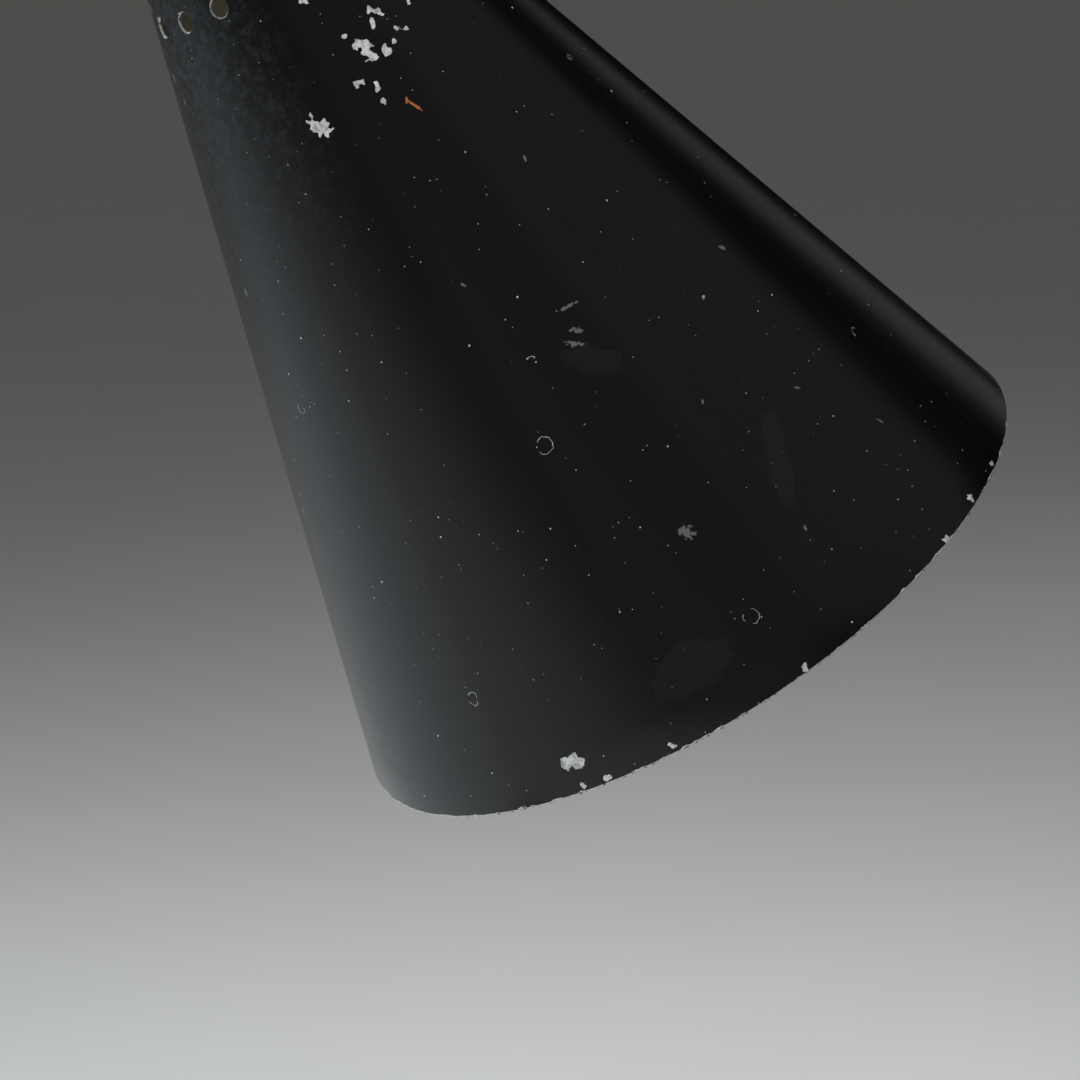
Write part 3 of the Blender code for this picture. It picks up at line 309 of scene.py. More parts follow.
def cut(piece, tool, operation="DIFFERENCE"):
    """Cuts the tool out of a piece, or joins them, or keeps what they share. Removes the tool."""
    modifier = piece.modifiers.new("cut", "BOOLEAN")
    modifier.operation = operation
    modifier.solver = "EXACT"
    modifier.material_mode = "INDEX"
    modifier.object = tool
    graph = bpy.context.evaluated_depsgraph_get()
    made = bpy.data.meshes.new_from_object(piece.evaluated_get(graph))
    piece.modifiers.clear()
    piece.data = made
    bpy.data.objects.remove(tool)
    shape = bmesh.new()
    shape.from_mesh(made)
    bmesh.ops.remove_doubles(shape, verts=shape.verts, dist=0.000003)
    shape.to_mesh(made)
    shape.free()


def new_group(name, inputs, outputs):
    """An empty shader group, with its input and output nodes. A vector's name starts with Place."""
    group = bpy.data.node_groups.new(name, "ShaderNodeTree")
    for label in inputs:
        kind = "NodeSocketVector" if label.startswith("Place") else "NodeSocketFloat"
        group.interface.new_socket(label, in_out="INPUT", socket_type=kind)
    for label in outputs:
        group.interface.new_socket(label, in_out="OUTPUT", socket_type="NodeSocketFloat")
    return group, group.nodes.new("NodeGroupInput").outputs, group.nodes.new("NodeGroupOutput").inputs


def use_group(tree, group, inputs):
    """Places a group in a tree."""
    return put(tree, "ShaderNodeGroup", inputs, node_tree=group).outputs


# Settled dust: a speck in some of the cells of a loose grid, each with a size of its own.
dust, given, result = new_group("settled_dust", ("Place", "Spacing", "Size", "Share"), ("Mask",))
cells = put(
    dust, "ShaderNodeTexVoronoi",
    {"Vector": vectors(dust, "DIVIDE", given["Place"], given["Spacing"]), "Scale": 1.0},
)
chance = put(dust, "ShaderNodeSeparateColor", {0: cells.outputs["Color"]}).outputs
speck = sums(dust, "MULTIPLY", given["Size"], sums(dust, "MULTIPLY_ADD", chance[1], 0.7, 0.3))
away = sums(dust, "MULTIPLY", cells.outputs["Distance"], given["Spacing"])
near = sums(dust, "LESS_THAN", away, speck)
dust.links.new(sums(dust, "MULTIPLY", near, sums(dust, "LESS_THAN", chance[0], given["Share"])), result["Mask"])

# Edge wear: the worn edges of a piece, broken up so that the finish survives in places.
edge_wear, given, result = new_group("edge_wear", ("Place", "Grain", "Worn", "Least"), ("Mask",))
patches = put(
    edge_wear, "ShaderNodeTexNoise",
    {"Vector": vectors(edge_wear, "DIVIDE", given["Place"], given["Grain"]), "Scale": 1.0, "Detail": 3.0},
).outputs["Fac"]
edge_wear.links.new(
    sums(edge_wear, "MULTIPLY", given["Worn"], sums(edge_wear, "GREATER_THAN", patches, given["Least"])),
    result["Mask"],
)

# Lathe marks: fine rings about the axis of a turned piece.
lathe, given, result = new_group("lathe_marks", ("Place", "Pitch"), ("Height",))
x, y, z = put(lathe, "ShaderNodeSeparateXYZ", {0: given["Place"]}).outputs[:3]
radius = sums(lathe, "SQRT", sums(lathe, "ADD", sums(lathe, "MULTIPLY", x, x), sums(lathe, "MULTIPLY", y, y)))
rings = put(lathe, "ShaderNodeCombineXYZ", {0: radius, 1: z}).outputs[0]
marks = put(
    lathe, "ShaderNodeTexNoise",
    {"Vector": vectors(lathe, "DIVIDE", rings, given["Pitch"]), "Scale": 1.0, "Detail": 2.0},
).outputs["Fac"]
lathe.links.new(marks, result["Height"])


def worn_edges(tree, place, grain, least):
    """Where a piece's rounded edges are worn."""
    worn = put(tree, "ShaderNodeAttribute", attribute_name="worn").outputs["Fac"]
    return use_group(tree, edge_wear, {"Place": place, "Grain": grain, "Worn": worn, "Least": least})["Mask"]


def specks_on(tree, place, spacing=0.009, size=0.0004, share=0.5):
    """Specks of settled dust."""
    return use_group(tree, dust, {"Place": place, "Spacing": spacing, "Size": size, "Share": share})["Mask"]


base_black, tree, shader, place = new_finish("base_black")
clouds = noise(tree, place, 0.06, 4.0, 0.6)
scuffs = put(
    tree, "ShaderNodeTexNoise",
    {"Vector": put(tree, "ShaderNodeMapping", {"Vector": place, "Scale": (60.0, 700.0, 400.0)}).outputs[0],
     "Scale": 1.0, "Detail": 3.0},
).outputs["Fac"]
scuffed_here = fade(tree, noise(tree, place, 0.03), 0.5, 0.62)
scuffed = sums(tree, "MULTIPLY", fade(tree, scuffs, 0.66, 0.72), scuffed_here)
low_edge = fade(tree, put(tree, "ShaderNodeSeparateXYZ", {0: place}).outputs[2], 0.009, 0.004)
knocks = sums(tree, "MULTIPLY", low_edge, fade(tree, noise(tree, place, 0.006, 3.0, 0.6), 0.58, 0.60))
black = blend(tree, clouds, (0.0045, 0.0046, 0.0049), (0.0075, 0.0076, 0.0080))
marked = blend(tree, sums(tree, "MULTIPLY", scuffed, 0.35), black, (0.08, 0.08, 0.078))
dusty = blend(tree, specks_on(tree, place, 0.007, 0.0004, 0.6), marked, (0.35, 0.34, 0.32))
bare = sums(tree, "MAXIMUM", knocks, worn_edges(tree, place, 0.004, 0.56))
feed(
    tree, shader, Base_Color=blend(tree, bare, dusty, (0.52, 0.51, 0.48)),
    Roughness=sums(tree, "MULTIPLY_ADD", clouds, 0.14, sums(tree, "MULTIPLY_ADD", scuffed, 0.2, 0.26)),
    Normal=relief(
        tree, sums(tree, "SUBTRACT", sums(tree, "MULTIPLY", noise(tree, place, 0.0016), 0.08), bare), 0.00012,
    ),
)

cover_low, cover_top, cover_radius = measured("base_cover", FLOOR_AXES)
stem_low, stem_top, stem_radius = measured("stem_tube", FLOOR_AXES)
cover_bore = stem_radius + SEAT


def rolled_edge(inset, steps=14):
    """The roll from the flat top to the upright side, inset from the outer face, as (radius, height)."""
    across, drop = cover_radius - COVER_FLAT_RADIUS - inset, cover_top - COVER_SIDE - inset
    return [
        (COVER_FLAT_RADIUS + across * x, COVER_SIDE + drop * z)
        for x, z in arc((0.0, 0.0), 1.0, 90.0, 0.0, steps)
    ]


base_cover = spun("base_cover_spun", [
    (cover_bore, cover_top), (cover_bore + 0.001, cover_top), (0.25 * COVER_FLAT_RADIUS, cover_top),
    (COVER_FLAT_RADIUS - 0.003, cover_top), *rolled_edge(0.0), (cover_radius, cover_low),
    (cover_radius - COVER_WALL, cover_low), *reversed(rolled_edge(COVER_WALL)),
    (cover_bore, cover_top - COVER_WALL),
], 192, base_black, edge=0.0003)
switch_axes = Matrix.Translation((0.0, middle_of("switch_button").y, 0.0))
cut(base_cover, rod_tool(SWITCH_HOLE_RADIUS, 0.2, switch_axes))
cord_axes = Matrix.Translation((-cover_radius, 0.0, middle_of("cord_grommet").z)) @ Matrix.Rotation(
    math.radians(-90.0), 4, "Y"
)
cut(base_cover, rod_tool(CORD_HOLE_RADIUS, 0.01, cord_axes))
smooth(base_cover)
stands_for(base_cover, "base", "black_lacquer", "base_cover")

# ---------------------------------------------------------------- felt, iron weight and its fixings
# A disc of pressed wool felt is glued under a sand-cast iron disc, which keeps the lamp upright. A zinc-plated
# washer and nut in the casting's recess draw the stem down. The mains joint is a small porcelain block.
FELT_RADIUS = 0.148
FELT_FUZZ = 0.0004

felt_green, tree, shader, place = new_finish("felt_green")
fibres = put(
    tree, "ShaderNodeTexNoise", {"Vector": place, "Scale": 2600.0, "Detail": 4.0, "Distortion": 1.5}
).outputs["Fac"]
clumps = noise(tree, place, 0.006, 3.0)
feed(
    tree, shader,
    Base_Color=blend(tree, sums(tree, "MULTIPLY", fibres, clumps), (0.012, 0.035, 0.018), (0.06, 0.13, 0.07)),
    Roughness=0.95, Sheen_Weight=0.4, Sheen_Roughness=0.5, Normal=relief(tree, fibres, 0.0004),
)
shape = bmesh.new()
felt_high = measured("base_felt", FLOOR_AXES)[1]
spin(shape, [(0.0, felt_high), *[(FELT_RADIUS * i / 12, felt_high) for i in range(1, 13)],
             (FELT_RADIUS + FELT_FUZZ, 0.6 * felt_high), (FELT_RADIUS, 0.0),
             *[(FELT_RADIUS * i / 12, 0.0) for i in range(11, 0, -1)], (0.0, 0.0)], 180, closed=False)
for vertex in shape.verts:
    if vertex.co.xy.length > 0.99 * FELT_RADIUS:
        tuft = mathutils.noise.noise(vertex.co * 700.0)
        vertex.co.xy *= 1.0 + FELT_FUZZ / FELT_RADIUS * tuft
base_felt = new_object("base_felt_pad", shape, (felt_green,))
stands_for(base_felt, "base", "felt", "base_felt")

raw_iron, tree, shader, place = new_finish("raw_iron")
sand = noise(tree, place, 0.0011, 5.0, 0.7)
rust = fade(tree, noise(tree, place, 0.018, 4.0, 0.65), 0.52, 0.66)
feed(
    tree, shader, Base_Color=blend(tree, rust, (0.075, 0.074, 0.073), (0.16, 0.065, 0.030)),
    Metallic=fade(tree, rust, 0.0, 1.0, 0.7, 0.0),
    Roughness=sums(tree, "MULTIPLY_ADD", sand, 0.3, 0.55), Normal=relief(tree, sand, 0.0005),
)

zinc, tree, shader, place = new_finish("zinc")
flowers = put(tree, "ShaderNodeTexVoronoi", {"Vector": place, "Scale": 420.0}).outputs["Color"]
flower = put(tree, "ShaderNodeSeparateColor", {0: flowers}).outputs[0]
dulled = fade(tree, noise(tree, place, 0.004, 4.0, 0.6), 0.45, 0.7)
flowered = blend(tree, flower, (0.56, 0.57, 0.58), (0.66, 0.67, 0.68))
feed(
    tree, shader, Metallic=1.0, Base_Color=blend(tree, dulled, flowered, (0.33, 0.33, 0.32)),
    Roughness=sums(tree, "MULTIPLY_ADD", dulled, 0.25, 0.26),
    Normal=relief(tree, noise(tree, place, 0.0006, 3.0), 0.00004),
)

porcelain, tree, shader, place = new_finish("porcelain")
speckle = fade(tree, noise(tree, place, 0.0007, 2.0), 0.66, 0.72)
feed(
    tree, shader, Coat_Weight=0.5, Coat_Roughness=0.08,
    Base_Color=blend(
        tree, sums(tree, "MULTIPLY", speckle, 0.5),
        blend(tree, noise(tree, place, 0.01), (0.80, 0.79, 0.74), (0.73, 0.71, 0.64)), (0.30, 0.26, 0.20),
    ),
    Roughness=sums(tree, "MULTIPLY_ADD", speckle, 0.3, 0.18),
    Normal=relief(tree, noise(tree, place, 0.004, 2.0), 0.0001),
)


def refinish(finish, *nodes):
    """Gives CAD nodes that keep their own shape a finish."""
    for node in nodes:
        mesh = frame["nodes"][node].data
        mesh.materials.clear()
        mesh.materials.append(finish)


refinish(raw_iron, "base_weight")
refinish(zinc, "base_nut", "base_washer", "switch_spring")
refinish(porcelain, "terminal_block", "holder_insert")

# ---------------------------------------------------------------- stem and its collar
# The upright is drawn brass tube, threaded at its foot. A turned brass collar covers the joint with the base.
# The brass has been left to age: brown in clouds and spots, rubbed brighter where hands and cloths reach.
STEM_WALL = 0.0015
COLLAR_RADIUS = 0.020
COLLAR_LIP = 0.0122


def own_place(tree, place, axes):
    """Coordinates on a piece's own axes."""
    inputs = {"Vector": place, "Location": axes.translation, "Rotation": axes.to_euler()}
    return put(tree, "ShaderNodeMapping", inputs, vector_type="TEXTURE").outputs[0]


def brass_finish(name, axes, pitch=0.00035, depth=0.00003):
    """Aged brass with lathe marks about the axes."""
    finish, tree, shader, place = new_finish(name)
    own = own_place(tree, place, axes)
    turned = use_group(tree, lathe, {"Place": own, "Pitch": pitch})["Height"]
    clouds = noise(tree, place, 0.022, 4.0, 0.62)
    spots = fade(tree, noise(tree, place, 0.0028, 4.0, 0.7), 0.60, 0.70)
    rubbed = worn_edges(tree, place, 0.003, 0.36)
    aged = blend(tree, clouds, (0.47, 0.31, 0.115), (0.31, 0.19, 0.070))
    spotted = blend(tree, sums(tree, "MULTIPLY", spots, 0.65), aged, (0.12, 0.068, 0.030))
    lined = blend(tree, sums(tree, "MULTIPLY", turned, 0.25), spotted, (0.20, 0.12, 0.045))
    bright = blend(tree, sums(tree, "MULTIPLY", rubbed, 0.8), lined, (0.66, 0.50, 0.24))
    dusty = blend(tree, specks_on(tree, place, 0.006, 0.0003, 0.35), bright, (0.42, 0.40, 0.36))
    rough = sums(tree, "MULTIPLY_ADD", clouds, 0.16, sums(tree, "MULTIPLY_ADD", spots, 0.22, 0.20))
    feed(
        tree, shader, Metallic=1.0, Base_Color=dusty,
        Roughness=sums(tree, "MULTIPLY_ADD", rubbed, -0.08, rough),
        Normal=relief(tree, sums(tree, "MULTIPLY_ADD", spots, -0.3, turned), depth),
    )
    return finish


stem_brass = brass_finish("stem_brass", FLOOR_AXES)
stem_inside = stem_radius - STEM_WALL
stem_tube = spun("stem_tube_drawn", [
    (stem_radius, stem_top), (stem_radius, stem_low), (stem_inside, stem_low), (stem_inside, stem_top),
], 72, stem_brass, edge=0.0003)
stands_for(stem_tube, "base", "brass", "stem_tube")

collar_low, collar_top, _ = measured("base_collar", FLOOR_AXES)
collar_rise = collar_top - collar_low


def collar_sweep(steps=9):
    """The collar's hollow side, from its foot flange up to its lip, as (radius, height)."""
    shares = [i / steps for i in range(steps + 1)]
    return [
        (
            COLLAR_RADIUS - 0.0058 - 0.0028 * share**1.4 + 0.0042 * (1.0 - share) ** 2.4,
            collar_low + collar_rise * (0.24 + 0.62 * share),
        )
        for share in shares
    ]


base_collar = spun("base_collar_turned", [
    (cover_bore, collar_top), (COLLAR_LIP - 0.0008, collar_top), (COLLAR_LIP, collar_top - 0.0009),
    (COLLAR_LIP, collar_top - 0.0024), *reversed(collar_sweep()),
    (0.0188, collar_low + 0.0052), (COLLAR_RADIUS, collar_low + 0.0044),
    (COLLAR_RADIUS, collar_low), (cover_bore, collar_low),
], 96, stem_brass, edge=0.0002)
stands_for(base_collar, "base", "brass", "base_collar")

# ---------------------------------------------------------------- foot switch and cord inlet
# A sprung bakelite button rises through a turned brass bezel in the cover. Its switch body hangs below in the
# casting's pocket. At the back of the cover a moulded rubber grommet lines the hole for the mains cord.
BEZEL_RADIUS = 0.015
BUTTON_RADIUS = 0.0078
BUTTON_BORE = 0.0082
GROMMET_RADIUS = 0.0055
GROMMET_HOLE = 0.0032


def bakelite_finish(name):
    """Black moulded phenolic: faint brown mottle, fine scratches, dust."""
    finish, tree, shader, place = new_finish(name)
    mottle = noise(tree, place, 0.004, 4.0, 0.6)
    stretch = put(tree, "ShaderNodeMapping", {"Vector": place, "Scale": (300.0, 300.0, 3000.0)}).outputs[0]
    scratches = fade(
        tree, put(tree, "ShaderNodeTexNoise", {"Vector": stretch, "Scale": 1.0, "Detail": 2.0}).outputs["Fac"],
        0.62, 0.70,
    )
    worn = worn_edges(tree, place, 0.002, 0.45)
    body = blend(tree, mottle, (0.010, 0.008, 0.007), (0.028, 0.020, 0.016))
    rubbed = blend(tree, sums(tree, "MULTIPLY", worn, 0.5), body, (0.07, 0.06, 0.05))
    dusty = blend(tree, specks_on(tree, place, 0.006, 0.0003, 0.4), rubbed, (0.35, 0.34, 0.31))
    feed(
        tree, shader, Base_Color=dusty,
        Roughness=sums(tree, "MULTIPLY_ADD", mottle, 0.14, sums(tree, "MULTIPLY_ADD", scratches, 0.2, 0.18)),
        Normal=relief(tree, sums(tree, "MULTIPLY", scratches, -1.0), 0.00003),
    )
    return finish


bakelite = bakelite_finish("bakelite")
switch_brass = brass_finish("switch_brass", switch_axes)
button_low, button_top, flange_radius = measured("switch_button", switch_axes)
switch_button = spun("switch_button_moulded", [
    (0.0, button_top), (0.0022, button_top), (0.0026, button_top - 0.0003), (0.0034, button_top - 0.0003),
    (0.0038, button_top), (0.0056, button_top - 0.0001), (0.0068, button_top - 0.0006),
    (0.0075, button_top - 0.0014), (BUTTON_RADIUS, button_top - 0.0026),
    (BUTTON_RADIUS, button_low + 0.0012), (flange_radius, button_low + 0.0012), (flange_radius, button_low),
    (0.0, button_low),
], 64, bakelite, switch_axes, closed=False, edge=0.00012)
stands_for(switch_button, "foot_button", "bakelite", "switch_button")

bezel_low, bezel_top, _ = measured("switch_bezel", switch_axes)
bezel_seat = cover_top + SEAT
switch_bezel = spun("switch_bezel_turned", [
    (BUTTON_BORE, bezel_top - 0.0003), (0.0092, bezel_top), (0.0128, bezel_top), (0.0142, bezel_top - 0.0008),
    (BEZEL_RADIUS, bezel_top - 0.0018), (BEZEL_RADIUS, bezel_seat), (0.0102, bezel_seat), (0.0102, bezel_low),
    (BUTTON_BORE, bezel_low),
], 96, switch_brass, switch_axes, edge=0.0002)
stands_for(switch_bezel, "base", "brass", "switch_bezel")
refinish(bakelite, "switch_housing")
refinish(switch_brass, "terminal_screw_1", "terminal_screw_2")

rubber, tree, shader, place = new_finish("rubber")
bloom = noise(tree, place, 0.003, 4.0, 0.6)
feed(
    tree, shader, Base_Color=blend(tree, bloom, (0.012, 0.012, 0.012), (0.040, 0.039, 0.037)),
    Roughness=sums(tree, "MULTIPLY_ADD", bloom, 0.2, 0.6),
    Normal=relief(tree, noise(tree, place, 0.0005), 0.00005),
)
neck = CORD_HOLE_RADIUS - SEAT
outer_face, inner_face = 0.0006, -0.0018
cord_grommet = spun("cord_grommet_moulded", [
    (GROMMET_HOLE, outer_face + 0.0015), (GROMMET_HOLE + 0.0012, outer_face + 0.0018),
    (GROMMET_RADIUS - 0.0006, outer_face + 0.0013), (GROMMET_RADIUS, outer_face + 0.0006),
    (GROMMET_RADIUS - 0.0001, outer_face), (neck, outer_face), (neck, inner_face),
    (GROMMET_RADIUS - 0.0001, inner_face), (GROMMET_RADIUS, inner_face - 0.0006),
    (GROMMET_RADIUS - 0.0006, inner_face - 0.0011), (GROMMET_HOLE, inner_face - 0.0012),
], 64, rubber, cord_axes)
stands_for(cord_grommet, "base", "rubber", "cord_grommet")

# ---------------------------------------------------------------- swivel
# A turned brass socket plugs the top of the stem. The fork's shank turns in it on a red fibre washer, held by a
# grooved neck and a slotted steel screw, so that the bow can swing round almost a full turn.
SOCKET_RADIUS = 0.0135
SWIVEL_BORE = 0.0064
SCREW_BORE = 0.0021
SCREW_HEAD = 0.0030
SCREW_SHANK = 0.0018
WASHER_EDGE = 0.00012

joint_place = {joint["name"]: Vector(joint["pos_m"]) for joint in frame["joints"] if "pos_m" in joint}
hinge_pivot = joint_place["arm_tilt"]
socket_low, socket_top, _ = measured("swivel_socket", FLOOR_AXES)
socket_base = stem_top + SEAT
swivel_socket = spun("swivel_socket_turned", [
    (SWIVEL_BORE, socket_top), (SOCKET_RADIUS, socket_top), (SOCKET_RADIUS, socket_top - 0.0042),
    (SOCKET_RADIUS - 0.0006, socket_top - 0.0046), (SOCKET_RADIUS - 0.0006, socket_top - 0.0052),
    (SOCKET_RADIUS, socket_top - 0.0056), (SOCKET_RADIUS, socket_base + 0.0026),
    (SOCKET_RADIUS - 0.0008, socket_base + 0.0010), (SOCKET_RADIUS - 0.0020, socket_base),
    (stem_inside - SEAT, socket_base), (stem_inside - SEAT, socket_low), (SWIVEL_BORE, socket_low),
], 96, stem_brass, edge=0.0002)
stop_height = middle_of("swivel_stop_screw").z
stop_axes = Matrix.Translation((0.0, 0.0, stop_height)) @ Matrix.Rotation(math.radians(-90.0), 4, "Y")
cut(swivel_socket, rod_tool(
    SCREW_BORE, 2.0 * SOCKET_RADIUS, stop_axes @ Matrix.Translation((0.0, 0.0, SOCKET_RADIUS))
))
smooth(swivel_socket)
stands_for(swivel_socket, "base", "brass", "swivel_socket")


def box_tool(low, high, axes=FLOOR_AXES):
    """A milling cut between two corners."""
    size = Vector(high) - Vector(low)
    shape = bmesh.new()
    middle = (Vector(high) + Vector(low)) / 2.0
    bmesh.ops.create_cube(shape, size=1.0, matrix=Matrix.LocRotScale(middle, None, size))
    return new_object("tool", shape, (), axes)


tip, head, _ = measured("swivel_stop_screw", stop_axes)
stop_screw = spun("swivel_stop_screw_cut", [
    (0.0, head), (0.0018, head - 0.0001), (0.0027, head - 0.0006), (SCREW_HEAD, head - 0.0013),
    (SCREW_HEAD, SOCKET_RADIUS + SEAT), (SCREW_SHANK, SOCKET_RADIUS + SEAT), (SCREW_SHANK, tip), (0.0, tip),
], 40, zinc, stop_axes, closed=False, edge=0.0001)
cut(stop_screw, box_tool((-0.004, -0.0003, head - 0.0010), (0.004, 0.0003, head + 0.001), stop_axes))
smooth(stop_screw)
stands_for(stop_screw, "base", "steel", "swivel_stop_screw")

red_fibre, tree, shader, place = new_finish("red_fibre")
threads = put(tree, "ShaderNodeMapping", {"Vector": place, "Scale": (2400.0, 2400.0, 600.0)}).outputs[0]
weave = put(tree, "ShaderNodeTexNoise", {"Vector": threads, "Scale": 1.0, "Detail": 3.0}).outputs["Fac"]
feed(
    tree, shader, Base_Color=blend(tree, weave, (0.20, 0.050, 0.028), (0.36, 0.11, 0.060)),
    Roughness=0.75, Normal=relief(tree, weave, 0.00006),
)


def washer(name, node, body, finish, slot_name, axes, bore, steps=64):
    """A flat washer in place of a CAD one, with its edges broken."""
    low, high, radius = measured(node, axes)
    outline = [(radius, high), (radius, low), (bore, low), (bore, high)]
    made = spun(name, outline, steps, finish, axes, edge=WASHER_EDGE)
    stands_for(made, body, slot_name, node)


washer("swivel_washer_punched", "swivel_washer", "swivel_head", red_fibre, "fibre", FLOOR_AXES, SWIVEL_BORE)

# ---------------------------------------------------------------- lower knuckle
# The fork and the flat tongue are milled from turned brass, drilled through for the lead. A slotted steel bolt
# pinches the ears on red fibre washers, so that friction holds the bow at its angle.
RUN = 0.0004
FIBRE = 0.0008
LEAD_BORE = 0.0022
HINGE_BAR, HINGE_BOSS, HINGE_PIN, HINGE_TONGUE = 0.0135, 0.013, 0.003, 0.010
HINGE_EAR, HINGE_FLOOR, HINGE_BRIDGE = 0.0052, 0.006, 0.0020
HINGE_NECK, HINGE_NECK_LENGTH, SPIGOT, SPIGOT_LENGTH = 0.0085, 0.030, 0.0052, 0.022
GROOVE_RADIUS, GROOVE_HALF, SHANK, SHANK_LENGTH = 0.0048, 0.004, 0.006, 0.040
BOW_RADIUS = 0.007
ACROSS = Matrix.Rotation(math.radians(90.0), 4, "X")


def plate_tool(outline, thickness):
    """A flat plate centred across Y, from an outline in (X, Z)."""
    shape = bmesh.new()
    face = shape.faces.new([shape.verts.new((x, -thickness / 2.0, z)) for x, z in outline])
    made = bmesh.ops.extrude_face_region(shape, geom=[face])["geom"]
    far = [item for item in made if isinstance(item, bmesh.types.BMVert)]
    bmesh.ops.translate(shape, verts=far, vec=(0.0, thickness, 0.0))
    bmesh.ops.recalc_face_normals(shape, faces=shape.faces)
    return new_object("tool", shape, ())


def milled(piece, edge, axes=FLOOR_AXES):
    """Breaks the edges of a cut piece, shades it and moves it to its axes."""
    shape = bmesh.new()
    shape.from_mesh(piece.data)
    bmesh.ops.remove_doubles(shape, verts=shape.verts, dist=0.00002)
    bmesh.ops.dissolve_degenerate(shape, edges=shape.edges, dist=0.00002)
    open_edges = [line for line in shape.edges if line.is_boundary]
    bmesh.ops.holes_fill(shape, edges=open_edges, sides=8)
    ease(shape, edge, 2, 28.0)
    shape.transform(axes)
    shape.to_mesh(piece.data)
    shape.free()
    smooth(piece)


def fork(name, axes, bar, boss, half_slot, ear, depth, shank, pin, finish):
    """A fork turned from bar on its shank, milled to round ears about the pin, and drilled."""
    long, low, flat = 4.0 * bar, shank[-1][1], half_slot + ear
    neck = shank[0][1]
    piece = spun(name, [
        (0.0, bar * 1.2), (bar, bar * 1.2), (bar, neck + 0.0032), (bar - 0.0004, neck + 0.0029),
        (bar - 0.0004, neck + 0.0023), (bar, neck + 0.0020), (bar, neck + 0.0006), (bar - 0.0006, neck), *shank,
        (0.0, low),
    ], 96, finish, closed=False)
    ears = arc((0.0, 0.0), boss, 0.0, 180.0, 40)
    cut(piece, plate_tool(
        [*ears, (-long, -boss), (-long, low - long), (long, low - long), (long, -boss)], long
    ), "INTERSECT")
    cut(piece, box_tool((-long, -half_slot, -depth), (long, half_slot, long)))
    cut(piece, box_tool((-long, -long, -0.9 * boss), (long, -flat, long)))
    cut(piece, box_tool((-long, flat, -0.9 * boss), (long, long, long)))
    cut(piece, rod_tool(pin + RUN, long, ACROSS))
    cut(piece, rod_tool(LEAD_BORE, 2.0 * (long - low), Matrix.Translation((0.0, 0.0, low - long))))
    milled(piece, 0.00018, axes)
    return piece


def tongue(name, boss, thickness, neck, pin, bridge, finish):
    """A flat round boss joined to a turned neck, with a groove behind the pin for the lead."""
    long, low = 3.0 * boss, neck[-1][1]
    half = math.sqrt(neck[-1][0] ** 2 - (thickness / 2.0) ** 2) - SEAT
    corner = math.degrees(math.asin(half / boss))
    reach = (low + neck[-2][1]) / 2.0
    piece = plate_tool(
        [*arc((0.0, 0.0), boss, 90.0 + corner, 450.0 - corner, 56), (half, reach), (-half, reach)], thickness
    )
    piece.name = name
    piece.data.materials.append(finish)
    cut(piece, spun("neck", [(0.0, neck[0][1]), *neck, (0.0, low)], 72, finish, closed=False), "UNION")
    behind = pin + RUN + bridge
    cut(piece, rod_tool(pin + RUN, 2.0 * thickness, ACROSS))
    cut(piece, rod_tool(LEAD_BORE, 4.0 * long, Matrix.Translation((0.0, 0.0, behind + 2.0 * long))))
    cut(piece, box_tool((-long, -LEAD_BORE, behind), (0.0, LEAD_BORE, low + 0.0002)))
    cut(piece, box_tool((-long, -LEAD_BORE, -long), (-behind, LEAD_BORE, low * 0.98)))
    return piece


hinge_axes = Matrix.Translation(hinge_pivot)
hinge_pin_axes = hinge_axes @ ACROSS
hinge_brass = brass_finish("hinge_brass", hinge_axes, 0.0005)
slot_half = HINGE_TONGUE / 2.0 + 2.0 * SEAT + FIBRE
slot_depth = HINGE_BOSS + 2.0 * RUN
fork_low = -slot_depth - HINGE_FLOOR
groove = stop_height - hinge_pivot.z
hinge_fork = fork("hinge_fork_milled", hinge_axes, HINGE_BAR, HINGE_BOSS, slot_half, HINGE_EAR, slot_depth, [
    (SHANK, fork_low), (SHANK, groove + GROOVE_HALF), (GROOVE_RADIUS, groove + GROOVE_HALF),
    (GROOVE_RADIUS, groove - GROOVE_HALF), (SHANK, groove - GROOVE_HALF), (SHANK, fork_low - SHANK_LENGTH),
], HINGE_PIN, hinge_brass)
stands_for(hinge_fork, "swivel_head", "brass", "hinge_fork")

neck_low = HINGE_BOSS + 4.0 * RUN
hinge_tongue = tongue("hinge_tongue_milled", HINGE_BOSS, HINGE_TONGUE, [
    (SPIGOT, HINGE_NECK_LENGTH + SPIGOT_LENGTH), (SPIGOT, HINGE_NECK_LENGTH), (BOW_RADIUS, HINGE_NECK_LENGTH),
    (HINGE_NECK, HINGE_NECK_LENGTH - 0.002), (HINGE_NECK, neck_low),
], HINGE_PIN, HINGE_BRIDGE, hinge_brass)
milled(hinge_tongue, 0.00015, hinge_axes)
stands_for(hinge_tongue, "bow", "brass", "hinge_tongue")

bolt_low, bolt_end, head_radius = measured("hinge_bolt", hinge_pin_axes)
head_seat = -(slot_half + HINGE_EAR + SEAT)
hinge_bolt = spun("hinge_bolt_turned", [
    (0.0, bolt_end), (0.0024, bolt_end), (HINGE_PIN, bolt_end - 0.0006), (HINGE_PIN, head_seat),
    (head_radius, head_seat), (head_radius, bolt_low + 0.0012), (head_radius - 0.0005, bolt_low + 0.0006),
    (head_radius - 0.0018, bolt_low + 0.0002), (0.0, bolt_low),
], 64, zinc, hinge_pin_axes, closed=False, edge=0.0001)
cut(hinge_bolt, box_tool((-0.01, -0.0006, bolt_low - 0.001), (0.01, 0.0006, bolt_low + 0.0014), hinge_pin_axes))
smooth(hinge_bolt)
stands_for(hinge_bolt, "swivel_head", "steel", "hinge_bolt")
pin_bore = HINGE_PIN + RUN
